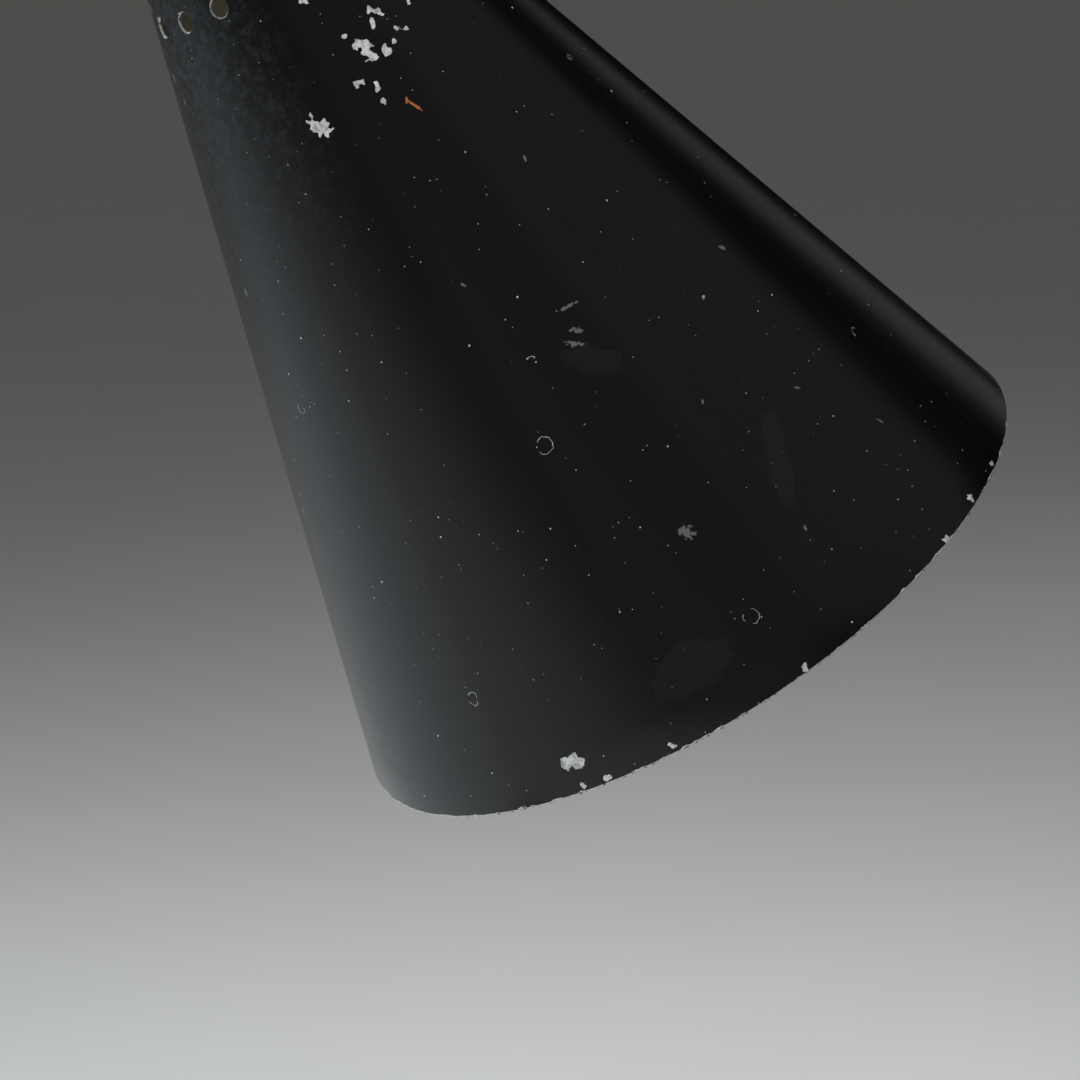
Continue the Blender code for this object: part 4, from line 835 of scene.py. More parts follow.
for side in ("front", "back"):
    washer(
        f"hinge_fibre_{side}_punched", f"hinge_fibre_{side}", "swivel_head", red_fibre, "fibre", hinge_pin_axes,
        pin_bore,
    )
washer("clamp_washer_punched", "clamp_washer", "swivel_head", zinc, "steel", hinge_pin_axes, pin_bore)

# ---------------------------------------------------------------- clamp knob
# A black bakelite hand knob with six lobes, moulded round a brass bush, screws on the end of the bolt. Turned
# by hand, it draws the fork's ears together on the fibre washers.
KNOB_RADIUS = 0.018
LOBES = 6
SCALLOP = 0.0065
KNOB_ROUND = 0.003

knob_low, knob_top, _ = measured("clamp_knob", hinge_pin_axes)
knob_rise = knob_top - knob_low
knob_shoulder = (KNOB_RADIUS - KNOB_ROUND, knob_top - 0.2 * knob_rise - 0.4 * KNOB_ROUND)
clamp_knob = spun("clamp_knob_moulded", [
    (0.0, knob_top - 0.0012), (0.0052, knob_top - 0.0010), (0.0060, knob_top - 0.0002), (0.0072, knob_top),
    (0.62 * KNOB_RADIUS, knob_top - 0.0001),
    *reversed(arc(knob_shoulder, KNOB_ROUND, 0.0, 70.0, 6)),
    (KNOB_RADIUS, knob_low + 0.45 * knob_rise), (KNOB_RADIUS - 0.0010, knob_low + 0.38 * knob_rise),
    (0.56 * KNOB_RADIUS, knob_low + 0.25 * knob_rise), (0.5 * KNOB_RADIUS, knob_low + 0.16 * knob_rise),
    (0.5 * KNOB_RADIUS, knob_low), (pin_bore, knob_low), (pin_bore, bolt_end + RUN), (0.0, bolt_end + RUN),
], 144, bakelite, hinge_pin_axes, closed=False)
for lobe in range(LOBES):
    turn = Matrix.Rotation(math.tau * lobe / LOBES, 4, "Z")
    beside = Matrix.Translation((KNOB_RADIUS + 0.5 * SCALLOP, 0.0, knob_low))
    cut(clamp_knob, rod_tool(SCALLOP, 3.0 * knob_rise, hinge_pin_axes @ turn @ beside, 64))
milled(clamp_knob, 0.0005)
stands_for(clamp_knob, "clamp_knob", "bakelite", "clamp_knob")

# ---------------------------------------------------------------- bow and its lead
# The bow is one long steel tube, rolled to a curve that tightens towards the tip, sprayed black to match the
# shade and pressed over the knuckles' spigots. A round lead in braided cotton runs through it.
BOW_WALL = 0.0012
BOW_EDGE = 0.0003
BOW_END_RING = 0.003
BOW_STRAIGHT = 0.030
BOW_LENGTH = 1.300
BOW_TURN = math.radians(135.0)
BOW_GROWTH = 1.3
BOW_PARTS = 640
LEAD_RADIUS = 0.0018
bow_start = HINGE_NECK_LENGTH + SEAT


def bow_stations():
    """(distance, x, z, heading) along the bow, which starts upright and turns more and more."""
    step = BOW_LENGTH / BOW_PARTS
    x, z, distance = 0.0, bow_start + BOW_STRAIGHT, BOW_STRAIGHT
    stations = [(0.0, x, bow_start, math.pi / 2.0), (distance, x, z, math.pi / 2.0)]
    for part in range(1, BOW_PARTS + 1):
        heading = math.pi / 2.0 - BOW_TURN * ((part - 0.5) / BOW_PARTS) ** BOW_GROWTH
        x, z, distance = x + step * math.cos(heading), z + step * math.sin(heading), distance + step
        stations.append((distance, x, z, math.pi / 2.0 - BOW_TURN * (part / BOW_PARTS) ** BOW_GROWTH))
    heading = stations[-1][3]
    x, z = x + BOW_STRAIGHT * math.cos(heading), z + BOW_STRAIGHT * math.sin(heading)
    stations.append((distance + BOW_STRAIGHT, x, z, heading))
    return stations


STATIONS = bow_stations()


def bend(shape):
    """Bends a straight piece drawn along Z, from the start of the bow, to the bow's curve."""
    distances = [station[0] for station in STATIONS]
    for vertex in shape.verts:
        along = vertex.co.z
        index = min(max(bisect.bisect_right(distances, along) - 1, 0), len(STATIONS) - 2)
        first, second = STATIONS[index], STATIONS[index + 1]
        share = (along - first[0]) / (second[0] - first[0])
        part = min(max(share, 0.0), 1.0)
        x, z = (a + (b - a) * share for a, b in zip(first[1:3], second[1:3]))
        heading = first[3] + (second[3] - first[3]) * part
        across = vertex.co.x
        vertex.co = (x + across * math.sin(heading), vertex.co.y, z - across * math.cos(heading))


def along_bow(first, last, step):
    """Distances from first to last."""
    parts = max(1, round((last - first) / step))
    return [first + (last - first) * i / parts for i in range(parts + 1)]


bow_black, tree, shader, place = new_finish("bow_black")
clouds = noise(tree, place, 0.05, 4.0, 0.6)
rubs = fade(tree, noise(tree, place, 0.0045, 4.0, 0.7), 0.655, 0.70)
nicks = fade(tree, noise(tree, place, 0.0022, 3.0, 0.7), 0.735, 0.745)
bare = sums(tree, "MAXIMUM", nicks, worn_edges(tree, place, 0.002, 0.4))
black = blend(tree, clouds, (0.0045, 0.0046, 0.0049), (0.0075, 0.0076, 0.0080))
rubbed = blend(tree, sums(tree, "MULTIPLY", rubs, 0.4), black, (0.06, 0.06, 0.058))
dusty = blend(tree, specks_on(tree, place, 0.006, 0.00035, 0.5), rubbed, (0.35, 0.34, 0.32))
feed(
    tree, shader, Base_Color=blend(tree, bare, dusty, (0.50, 0.49, 0.46)),
    Roughness=sums(tree, "MULTIPLY_ADD", clouds, 0.12, sums(tree, "MULTIPLY_ADD", rubs, 0.15, 0.24)),
    Normal=relief(
        tree, sums(tree, "SUBTRACT", sums(tree, "MULTIPLY", noise(tree, place, 0.0016), 0.08), bare), 0.0001,
    ),
)

bow_end = STATIONS[-1][0]
shape = bmesh.new()
inner = BOW_RADIUS - BOW_WALL
spin(shape, [
    (BOW_RADIUS - BOW_EDGE, 0.0), (BOW_RADIUS, BOW_EDGE),
    *[(BOW_RADIUS, z) for z in along_bow(BOW_END_RING, bow_end - BOW_END_RING, 0.006)],
    (BOW_RADIUS, bow_end - BOW_EDGE), (BOW_RADIUS - BOW_EDGE, bow_end), (inner, bow_end),
    *[(inner, z) for z in along_bow(bow_end - BOW_END_RING, BOW_END_RING, -0.012)], (inner, 0.0),
], 40)
worn = shape.loops.layers.float.new("worn")
for face in shape.faces:
    height = face.calc_center_median().z
    for loop in face.loops:
        loop[worn] = 1.0 if min(height, bow_end - height) < BOW_EDGE else 0.0
bend(shape)
arm_tube = new_object("arm_tube_rolled", shape, (bow_black,), hinge_axes)
stands_for(arm_tube, "bow", "bow_lacquer", "arm_tube")

cotton, tree, shader, place = new_finish("cotton_braid")
strands = put(
    tree, "ShaderNodeTexNoise", {"Vector": place, "Scale": 1800.0, "Detail": 3.0, "Distortion": 0.8}
).outputs["Fac"]
feed(
    tree, shader, Base_Color=blend(tree, strands, (0.022, 0.018, 0.015), (0.075, 0.062, 0.050)),
    Roughness=0.85, Normal=relief(tree, strands, 0.0002),
)
shape = bmesh.new()
lead_start, lead_end = neck_low + SEAT - bow_start, bow_end + 0.005
spin(shape, [
    (0.0, lead_start), *[(LEAD_RADIUS, z) for z in along_bow(lead_start, lead_end, 0.008)], (0.0, lead_end),
], 20, closed=False)
bend(shape)
arm_lead = new_object("arm_lead_braided", shape, (cotton,), hinge_axes)
stands_for(arm_lead, "bow", "lead", "arm_lead")
refinish(cotton, "stem_lead", "holder_lead")

# ---------------------------------------------------------------- upper knuckle
# A smaller fork and tongue of the same make join the bow to the shade. A brass thumb screw, knurled round its
# edge for the fingers, clamps them.
TIP_BAR, TIP_BOSS, TIP_PIN, TIP_TONGUE = 0.0085, 0.008, 0.002, 0.007
TIP_EAR, TIP_FLOOR, TIP_BRIDGE = 0.0027, 0.005, 0.0015
TIP_NECK, TIP_NECK_LENGTH, NIPPLE_GRIP = 0.0068, 0.018, 0.007
THUMB_RADIUS = 0.007
THUMB_KNURLS = 40
THUMB_DEPTH = 0.0004


def axes_along(origin, direction):
    """Axes in the plane of the bow, with Z along the direction."""
    return Matrix.Translation(origin) @ Matrix.Rotation(math.atan2(direction.x, direction.z), 4, "Y")


shade_pivot = joint_place["shade_tilt"]
SHADE_AXES = axes_along(shade_pivot, middle_of("holder_skirt") - shade_pivot)
tip_axes = Matrix.Translation(shade_pivot) @ Matrix.Rotation(BOW_TURN, 4, "Y")
tip_pin_axes = Matrix.Translation(shade_pivot) @ ACROSS
tip_brass = brass_finish("tip_brass", SHADE_AXES, 0.0004)
tip_slot = TIP_TONGUE / 2.0 + 2.0 * SEAT + FIBRE
tip_depth = TIP_BOSS + 2.0 * RUN
tip_low = -tip_depth - TIP_FLOOR
shade_fork = fork("shade_fork_milled", tip_axes, TIP_BAR, TIP_BOSS, tip_slot, TIP_EAR, tip_depth, [
    (SPIGOT, tip_low), (SPIGOT, tip_low - SPIGOT_LENGTH),
], TIP_PIN, tip_brass)
stands_for(shade_fork, "bow", "brass", "shade_fork")

nipple_radius = measured("shade_nipple", SHADE_AXES)[2]
nipple_bore = nipple_radius + SEAT
tip_neck_low = TIP_BOSS + 3.0 * RUN
shade_tongue = tongue("shade_tongue_milled", TIP_BOSS, TIP_TONGUE, [
    (TIP_NECK - 0.0003, TIP_NECK_LENGTH), (TIP_NECK, TIP_NECK_LENGTH - 0.0003), (TIP_NECK, tip_neck_low),
], TIP_PIN, TIP_BRIDGE, tip_brass)
seat_place = Matrix.Translation((0.0, 0.0, TIP_NECK_LENGTH - NIPPLE_GRIP - SEAT + 2.0 * NIPPLE_GRIP))
cut(shade_tongue, rod_tool(nipple_bore, 4.0 * NIPPLE_GRIP, seat_place))
milled(shade_tongue, 0.00012, SHADE_AXES)
stands_for(shade_tongue, "shade", "brass", "shade_tongue")
for side in ("front", "back"):
    washer(
        f"shade_fibre_{side}_punched", f"shade_fibre_{side}", "bow", red_fibre, "fibre", tip_pin_axes,
        TIP_PIN + RUN, 48,
    )
washer("thumb_washer_punched", "thumb_washer", "bow", zinc, "steel", tip_pin_axes, TIP_PIN + RUN, 48)

pin_end, thumb_top, _ = measured("thumb_screw", tip_pin_axes)
thumb_low = measured("thumb_washer", tip_pin_axes)[1] + SEAT
shape = bmesh.new()
spin(shape, [
    (0.0, thumb_top - 0.0004), (0.0028, thumb_top - 0.0004), (0.0034, thumb_top), (0.0054, thumb_top),
    (0.0064, thumb_top - 0.0006), (THUMB_RADIUS, thumb_top - 0.0014), (THUMB_RADIUS, thumb_low + 0.0028),
    (0.0064, thumb_low + 0.0021), (0.0046, thumb_low + 0.0015), (0.0046, thumb_low), (TIP_PIN, thumb_low),
    (TIP_PIN, pin_end + 0.0005), (TIP_PIN - 0.0005, pin_end), (0.0, pin_end),
], 2 * THUMB_KNURLS, closed=False)
worn = shape.loops.layers.float.new("worn")
for vertex in shape.verts:
    if vertex.co.xy.length > THUMB_RADIUS - 0.00001:
        tooth = round(math.atan2(vertex.co.y, vertex.co.x) / (math.pi / THUMB_KNURLS))
        if tooth % 2:
            vertex.co.xy *= 1.0 - THUMB_DEPTH / THUMB_RADIUS
        else:
            for loop in vertex.link_loops:
                loop[worn] = 1.0
thumb_brass = brass_finish("thumb_brass", tip_pin_axes)
thumb_screw = new_object("thumb_screw_knurled", shape, (thumb_brass,), tip_pin_axes, 20.0)
stands_for(thumb_screw, "thumb_screw", "brass", "thumb_screw")

# ---------------------------------------------------------------- shade collar and fixings
# A turned brass collar spreads from the tongue to the shade's flat top. A hollow threaded nipple runs through
# both, and inside the shade a zinc-plated washer and a brass hexagon nut draw them tight.
COLLAR_SEAT_RADIUS = 0.0145
NIPPLE_BORE = 0.0031
NUT_RADIUS = 0.0085
THREAD_DEPTH = 0.00025
THREAD_PITCH = 0.0008

shade_top, shade_rim, rim_radius = measured("shade_shell", SHADE_AXES)
collar_start, collar_end, _ = measured("shade_collar", SHADE_AXES)
collar_long = collar_end - collar_start


def collar_flare(steps=10):
    """The collar's hollow side, from its neck to its seat, as (radius, height)."""
    shares = [i / steps for i in range(steps + 1)]
    spread = COLLAR_SEAT_RADIUS - TIP_NECK - 0.0026
    return [
        (TIP_NECK + 0.0008 + spread * share**2.2, collar_start + collar_long * (0.16 + 0.54 * share))
        for share in shares
    ]


shade_collar = spun("shade_collar_turned", [
    (nipple_bore, collar_end), (COLLAR_SEAT_RADIUS - 0.0003, collar_end),
    (COLLAR_SEAT_RADIUS, collar_end - 0.0005), (COLLAR_SEAT_RADIUS, collar_end - 0.0026),
    (COLLAR_SEAT_RADIUS - 0.0004, collar_end - 0.0032),
    (COLLAR_SEAT_RADIUS - 0.0014, collar_end - 0.0036), *reversed(collar_flare()),
    (TIP_NECK + 0.0012, collar_start + 0.0024), (TIP_NECK + 0.0012, collar_start + 0.0012),
    (TIP_NECK + 0.0006, collar_start + 0.0003), (TIP_NECK, collar_start), (nipple_bore, collar_start),
], 96, tip_brass, SHADE_AXES, edge=0.00012)
stands_for(shade_collar, "shade", "brass", "shade_collar")

nipple_start, nipple_end, _ = measured("shade_nipple", SHADE_AXES)
turns = int((nipple_end - nipple_start - 0.001) / THREAD_PITCH)
crests = []
for turn in range(turns):
    foot = nipple_end - 0.0005 - turn * THREAD_PITCH
    crests += [(nipple_radius - THREAD_DEPTH, foot), (nipple_radius, foot - THREAD_PITCH / 2.0)]
shade_nipple = spun("shade_nipple_threaded", [
    (nipple_radius - THREAD_DEPTH, nipple_end), *crests, (nipple_radius - THREAD_DEPTH, nipple_start),
    (NIPPLE_BORE, nipple_start), (NIPPLE_BORE, nipple_end),
], 48, tip_brass, SHADE_AXES)
stands_for(shade_nipple, "shade", "brass", "shade_nipple")
washer("inner_washer_punched", "inner_washer", "shade", zinc, "steel", SHADE_AXES, nipple_bore)

nut_low, nut_high, _ = measured("lock_nut", SHADE_AXES)
nut_middle = Matrix.Translation((0.0, 0.0, (nut_low + nut_high) / 2.0))
lock_nut = rod_tool(NUT_RADIUS, nut_high - nut_low, SHADE_AXES @ nut_middle, 6)
lock_nut.name = "lock_nut_cut"
lock_nut.data.materials.append(tip_brass)
dome = spun("tool", [
    (0.0, nut_high + 0.001), (0.8 * NUT_RADIUS, nut_high + 0.0002), (1.05 * NUT_RADIUS, nut_high - 0.0010),
    (1.05 * NUT_RADIUS, nut_low - 0.001), (0.0, nut_low - 0.001),
], 72, tip_brass, SHADE_AXES, closed=False)
cut(lock_nut, dome, "INTERSECT")
cut(lock_nut, rod_tool(nipple_bore, 0.03, SHADE_AXES @ nut_middle))
milled(lock_nut, 0.00015)
stands_for(lock_nut, "shade", "brass", "lock_nut")

# ---------------------------------------------------------------- shade shell
# The long cone is spun from one sheet of thin steel, pierced with a ring of vents near its top, and sprayed
# satin black outside and cream inside; towards its top the cream is painted brown as shade. It hangs from a
# threaded nipple.
SHADE_WALL = 0.0008
SHADE_TOP_RADIUS = 0.024
SHADE_FILLET = 0.004
RIM_ROUND = 0.0003
VENT_COUNT = 18
VENT_RADIUS = 0.0034
VENT_FLARE = 0.0005
VENT_RING_RADIUS = 0.0481
VENT_START = math.radians(-3.2)
SHADE_STEPS = 240
SHADE_RINGS = 26
FRONT_LINE = math.radians(-86.0)
FLAKE_SIZE = 0.0014

shade_slope = (rim_radius - SHADE_TOP_RADIUS) / (shade_rim - shade_top)
half_angle = math.atan(shade_slope)
shade_apex = shade_rim - rim_radius / shade_slope

# One chip or scratch in the lacquer of a cone: an oval at a place on the sheet, leaning, with a broken edge.
chip, given, result = new_group(
    "lacquer_chip",
    ("Angle", "Slant", "Break", "At Angle", "At Slant", "Length", "Width", "Lean", "Ragged"), ("Mask",),
)
across = sums(
    chip, "MULTIPLY", sums(chip, "SUBTRACT", given["Angle"], given["At Angle"]),
    sums(chip, "MULTIPLY", given["At Slant"], math.sin(half_angle)),
)
down = sums(chip, "SUBTRACT", given["Slant"], given["At Slant"])
flat = put(chip, "ShaderNodeCombineXYZ", {0: across, 1: down}).outputs[0]
leaning = put(
    chip, "ShaderNodeVectorRotate", {"Vector": flat, "Angle": given["Lean"]}, rotation_type="Z_AXIS"
)
leaning_parts = put(chip, "ShaderNodeSeparateXYZ", {0: leaning.outputs[0]}).outputs
width_share = sums(chip, "DIVIDE", leaning_parts[0], given["Width"])
length_share = sums(chip, "DIVIDE", leaning_parts[1], given["Length"])
wide = sums(chip, "POWER", sums(chip, "ABSOLUTE", width_share), 2.0)
tall = sums(chip, "POWER", sums(chip, "ABSOLUTE", length_share), 2.0)
oval = sums(chip, "SQRT", sums(chip, "ADD", wide, tall))
broken = sums(chip, "MULTIPLY_ADD", sums(chip, "SUBTRACT", given["Break"], 0.5), given["Ragged"], oval)
chip.links.new(sums(chip, "LESS_THAN", broken, 0.5), result["Mask"])

# Marks in the lacquer: mm from the knuckle along the axis, degrees round it, length and width in mm, lean in
# degrees, and how far the edge breaks.
BRIGHT_CHIPS = (
    (161, -58, 10.0, 4.6, -30, 1.0),
    (125, -75, 3.5, 2.5, 20, 1.2),
    (140, -93, 6.0, 2.5, -30, 1.4),
    (144, -104, 3.5, 2.0, 0, 1.2),
    (142, -90, 3.0, 2.0, 40, 1.2),
    (147, -82, 10.0, 4.5, -20, 1.6),
    (152, -88, 4.0, 2.5, 30, 1.4),
    (151, -92, 3.0, 1.5, -40, 1.2),
    (149, -96, 4.0, 1.2, -60, 1.2),
    (155, -75, 5.0, 2.5, -60, 1.4),
    (159, -79, 3.5, 1.5, 20, 1.4),
    (164, -78, 3.0, 1.2, 60, 1.4),
    (378, -46, 6.0, 8.0, 0, 1.0),
    (388, -34, 2.0, 3.0, 0, 1.0),
    (386, -46, 2.2, 1.6, 0, 1.0),
    (387, -50, 2.0, 4.0, 0, 1.0),
    (386, -61, 3.0, 1.6, 30, 1.0),
    (387, -83, 2.4, 3.0, 0, 1.0),
    (387, -113, 2.4, 2.4, 0, 1.0),
    (386, -122, 3.4, 1.8, 20, 1.0),
    (387, -131, 2.4, 3.2, 0, 1.0),
)
RUST_SCRATCHES = ((171, -85, 6.0, 1.0, -20, 0.9), (168, -84, 2.2, 0.9, 30, 0.9))
SCUFFS = (
    (270, -123, 2.6, 1.4, -30, 1.2),
    (250, -86, 1.2, 7.0, 10, 1.8),
    (258, -85, 5.0, 1.5, -50, 2.0),
    (261, -83, 5.5, 1.5, -50, 2.0),
    (330, -80, 5.0, 3.5, -20, 2.2),
    (107, 7, 3.0, 2.0, 0, 1.0),
    (110, 0, 2.5, 1.5, 0, 1.0),
    (130, 3, 3.0, 2.0, 0, 1.2),
    (138, -2, 2.0, 1.5, 0, 1.0),
    (203, -4, 3.0, 1.8, 0, 1.2),
    (282, 4, 3.0, 2.0, 0, 1.2),
    (300, -96, 2.0, 0.8, 30, 1.0),
    (318, -112, 2.4, 0.8, -40, 1.0),
    (205, -100, 2.4, 0.8, 20, 1.0),
    (226, -70, 2.0, 0.7, -30, 1.0),
    (352, -96, 2.0, 0.9, 10, 1.0),
    (346, -120, 2.6, 0.8, -20, 1.0),
)
SMUDGES = ((367, -69, 16.0, 30.0, 0, 0.8), (268, -84, 22.0, 9.0, -50, 1.2), (330, -100, 34.0, 8.0, 30, 1.0))


def on_cone(tree, place):
    """The angle round the cone from its front line, the slant from its apex and the height on its axis."""
    own = own_place(tree, place, SHADE_AXES)
    front = put(tree, "ShaderNodeVectorRotate", {"Vector": own, "Angle": -FRONT_LINE}, rotation_type="Z_AXIS")
    x, y, z = put(tree, "ShaderNodeSeparateXYZ", {0: front.outputs[0]}).outputs[:3]
    angle = sums(tree, "ARCTAN2", y, x)
    slant = sums(tree, "DIVIDE", sums(tree, "SUBTRACT", z, shade_apex), math.cos(half_angle))
    return angle, slant, z


# Lint: broken rings of fine hair round some of the cells of a loose grid.
lint, given, result = new_group("lint_hairs", ("Place", "Spacing", "Curl", "Size"), ("Mask",))
cells = put(
    lint, "ShaderNodeTexVoronoi",
    {"Vector": vectors(lint, "DIVIDE", given["Place"], given["Spacing"]), "Scale": 1.0},
)
chance = put(lint, "ShaderNodeSeparateColor", {0: cells.outputs["Color"]}).outputs
wander = put(
    lint, "ShaderNodeTexNoise", {"Vector": vectors(lint, "DIVIDE", given["Place"], given["Curl"]), "Scale": 0.6}
).outputs["Fac"]
away = sums(lint, "MULTIPLY", cells.outputs["Distance"], given["Spacing"])
ring = sums(lint, "MULTIPLY", given["Curl"], sums(lint, "MULTIPLY_ADD", wander, 1.6, chance[1]))
on_ring = sums(lint, "LESS_THAN", sums(lint, "ABSOLUTE", sums(lint, "SUBTRACT", away, ring)), given["Size"])
part_ring = sums(lint, "GREATER_THAN", wander, 0.47)
lint.links.new(
    sums(lint, "MULTIPLY", sums(lint, "MULTIPLY", on_ring, part_ring), sums(lint, "LESS_THAN", chance[0], 0.6)),
    result["Mask"],
)


def chip_masks(tree, chips, angle, slant, breaks):
    """The largest of the masks of a list of chips."""
    mask = 0.0
    for along, round_by, length, width, lean, ragged in chips:
        one = use_group(tree, chip, {
            "Angle": angle, "Slant": slant, "Break": breaks,
            "At Angle": math.radians(round_by) - FRONT_LINE,
            "At Slant": (along / 1000.0 - shade_apex) / math.cos(half_angle),
            "Length": length / 1000.0, "Width": width / 1000.0, "Lean": math.radians(lean), "Ragged": ragged,
        })["Mask"]
        mask = sums(tree, "MAXIMUM", mask, one)
    return mask


shade_black, tree, shader, place = new_finish("shade_black")
angle, slant, height = on_cone(tree, place)
crack = put(tree, "ShaderNodeTexVoronoi", {"Vector": place, "Scale": 1.0 / FLAKE_SIZE}).outputs["Position"]
flake_angle, flake_slant, _ = on_cone(tree, crack)
jagged = noise(tree, crack, 0.0030, 2.0)
breaks = noise(tree, place, 0.0012, 4.0, 0.65)
bright = chip_masks(tree, BRIGHT_CHIPS, flake_angle, flake_slant, jagged)
rusty = chip_masks(tree, RUST_SCRATCHES, angle, slant, breaks)
scuffed = chip_masks(tree, SCUFFS, angle, slant, breaks)
smudged = chip_masks(tree, SMUDGES, angle, slant, noise(tree, place, 0.004, 5.0, 0.7))
specks = specks_on(tree, place, 0.0066, 0.00040, 0.70)
fine = specks_on(tree, place, 0.0034, 0.00025, 0.70)
hairs = use_group(tree, lint, {"Place": place, "Spacing": 0.030, "Curl": 0.0016, "Size": 0.00009})["Mask"]
rim_break = sums(tree, "MULTIPLY_ADD", noise(tree, place, 0.006, 4.0, 0.6), 0.0030, shade_rim - 0.0021)
rim_wear = sums(tree, "GREATER_THAN", height, rim_break)
bare = sums(tree, "MAXIMUM", bright, rim_wear, clamp=True)
clouds = noise(tree, place, 0.05, 4.0, 0.6)
# A paler bluish haze high on the cone's left side: rubbed lacquer, and also a painted bluish sheen where the
# cool light falls.
left_side = fade(tree, angle, 0.25, 0.85)
high_up = fade(tree, slant, 0.30, 0.15)
mottle = fade(tree, noise(tree, place, 0.0035, 5.0, 0.75), 0.42, 0.66)
haze = sums(tree, "MULTIPLY", sums(tree, "MULTIPLY", left_side, high_up), mottle)
black = blend(tree, clouds, (0.0030, 0.0031, 0.0033), (0.0042, 0.0043, 0.0046))
hazy_and_sheen = blend(tree, haze, black, (0.020, 0.023, 0.027))
smudgy = blend(tree, sums(tree, "MULTIPLY", smudged, 0.35), hazy_and_sheen, (0.016, 0.016, 0.016))
scuffy = blend(tree, sums(tree, "MULTIPLY", scuffed, 0.45), smudgy, (0.30, 0.29, 0.27))
rusted = blend(tree, rusty, scuffy, (0.42, 0.13, 0.035))
settled = sums(tree, "MAXIMUM", specks, sums(tree, "MULTIPLY", sums(tree, "MAXIMUM", fine, hairs), 0.75))
dusty = blend(tree, settled, rusted, (0.55, 0.55, 0.53))
grain = noise(tree, place, 0.0020, 4.0, 0.7)
metal = blend(tree, fade(tree, grain, 0.35, 0.62), (0.34, 0.34, 0.34), (0.72, 0.72, 0.70))
colour = blend(tree, bare, dusty, metal)
orange_peel = noise(tree, place, 0.0016, 2.0)
feed(
    tree, shader, Base_Color=colour,
    Roughness=sums(tree, "MULTIPLY_ADD", haze, 0.1, sums(tree, "MULTIPLY_ADD", clouds, 0.06, 0.22)),
    Normal=relief(
        tree, sums(tree, "SUBTRACT", sums(tree, "MULTIPLY", orange_peel, 0.08), bare), 0.00012,
    ),
)

shade_cream, tree, shader, place = new_finish("shade_cream")
_, slant, _ = on_cone(tree, place)
clouds = noise(tree, place, 0.04, 4.0, 0.6)
# Painted shade: the cream darkens to brown deep in the cone, towards its top, where little light reaches.
shaded_near_top = sums(tree, "MULTIPLY", fade(tree, slant, 0.22, 0.13), fade(tree, clouds, 0.2, 0.7, 0.6, 1.0))
cream = blend(tree, clouds, (0.62, 0.58, 0.47), (0.52, 0.47, 0.35))
feed(
    tree, shader, Base_Color=blend(tree, shaded_near_top, cream, (0.050, 0.036, 0.018)),
    Roughness=sums(tree, "MULTIPLY_ADD", clouds, 0.15, 0.40),
    Normal=relief(tree, noise(tree, place, 0.0018, 2.0), 0.00003),
)

bare_edge, tree, shader, place = new_finish("bare_edge")
worn = noise(tree, place, 0.0015, 3.0, 0.6)
feed(
    tree, shader, Base_Color=blend(tree, fade(tree, worn, 0.35, 0.5), (0.02, 0.02, 0.022), (0.62, 0.62, 0.60)),
    Metallic=fade(tree, worn, 0.35, 0.5, 0.0, 0.6), Roughness=sums(tree, "MULTIPLY_ADD", worn, 0.2, 0.3),
)


def vent_axes(index):
    """The place of a vent, with Z out through the sheet."""
    angle = VENT_START + math.tau * index / VENT_COUNT
    outwards = Vector((math.cos(angle), math.sin(angle), -shade_slope)).normalized()
    centre = Vector((
        VENT_RING_RADIUS * math.cos(angle), VENT_RING_RADIUS * math.sin(angle),
        shade_apex + VENT_RING_RADIUS / shade_slope,
    ))
    return Matrix.Translation(centre) @ outwards.to_track_quat("Z", "Y").to_matrix().to_4x4()


def cone_line(first, last, parts, inset):
    """Points along the sheet between two heights, inset from its outer face."""
    inwards = inset / math.cos(half_angle)
    heights = [first + (last - first) * i / parts for i in range(parts + 1)]
    return [((z - shade_apex) * shade_slope - inwards, z) for z in heights]


sin_half, cos_half = math.sin(half_angle), math.cos(half_angle)
fillet_centre = (
    (shade_top + SHADE_FILLET - shade_apex) * shade_slope - SHADE_FILLET / cos_half, shade_top + SHADE_FILLET
)
fillet_end = fillet_centre[1] - SHADE_FILLET * sin_half
start_angle, end_angle = -90.0, -math.degrees(half_angle)
rim_start = shade_rim - 2.0 * RIM_ROUND
shape = bmesh.new()
outline = [(nipple_radius, shade_top)]
outline += arc(fillet_centre, SHADE_FILLET, start_angle, end_angle, 6)
outline += cone_line(fillet_end, rim_start, SHADE_RINGS, 0.0)[1:]
outline += [(rim_radius - 0.00015, shade_rim), (rim_radius - SHADE_WALL * 0.8, shade_rim)]
outline += cone_line(rim_start, fillet_end, SHADE_RINGS, SHADE_WALL)
outline += arc(fillet_centre, SHADE_FILLET - SHADE_WALL, end_angle, start_angle, 6)
outline += [(nipple_radius, shade_top + SHADE_WALL)]
spin(shape, outline, SHADE_STEPS)
for face in shape.faces:
    middle = face.calc_center_median()
    outwards = Vector((*(middle.xy.normalized() * cos_half), -sin_half))
    inside = face.normal.dot(outwards) < 0.0
    at_rim = middle.z > rim_start
    face.material_index = 2 if at_rim else 1 if inside else 0
shade_shell = new_object("shade_shell_spun", shape, (shade_black, shade_cream, bare_edge), SHADE_AXES)

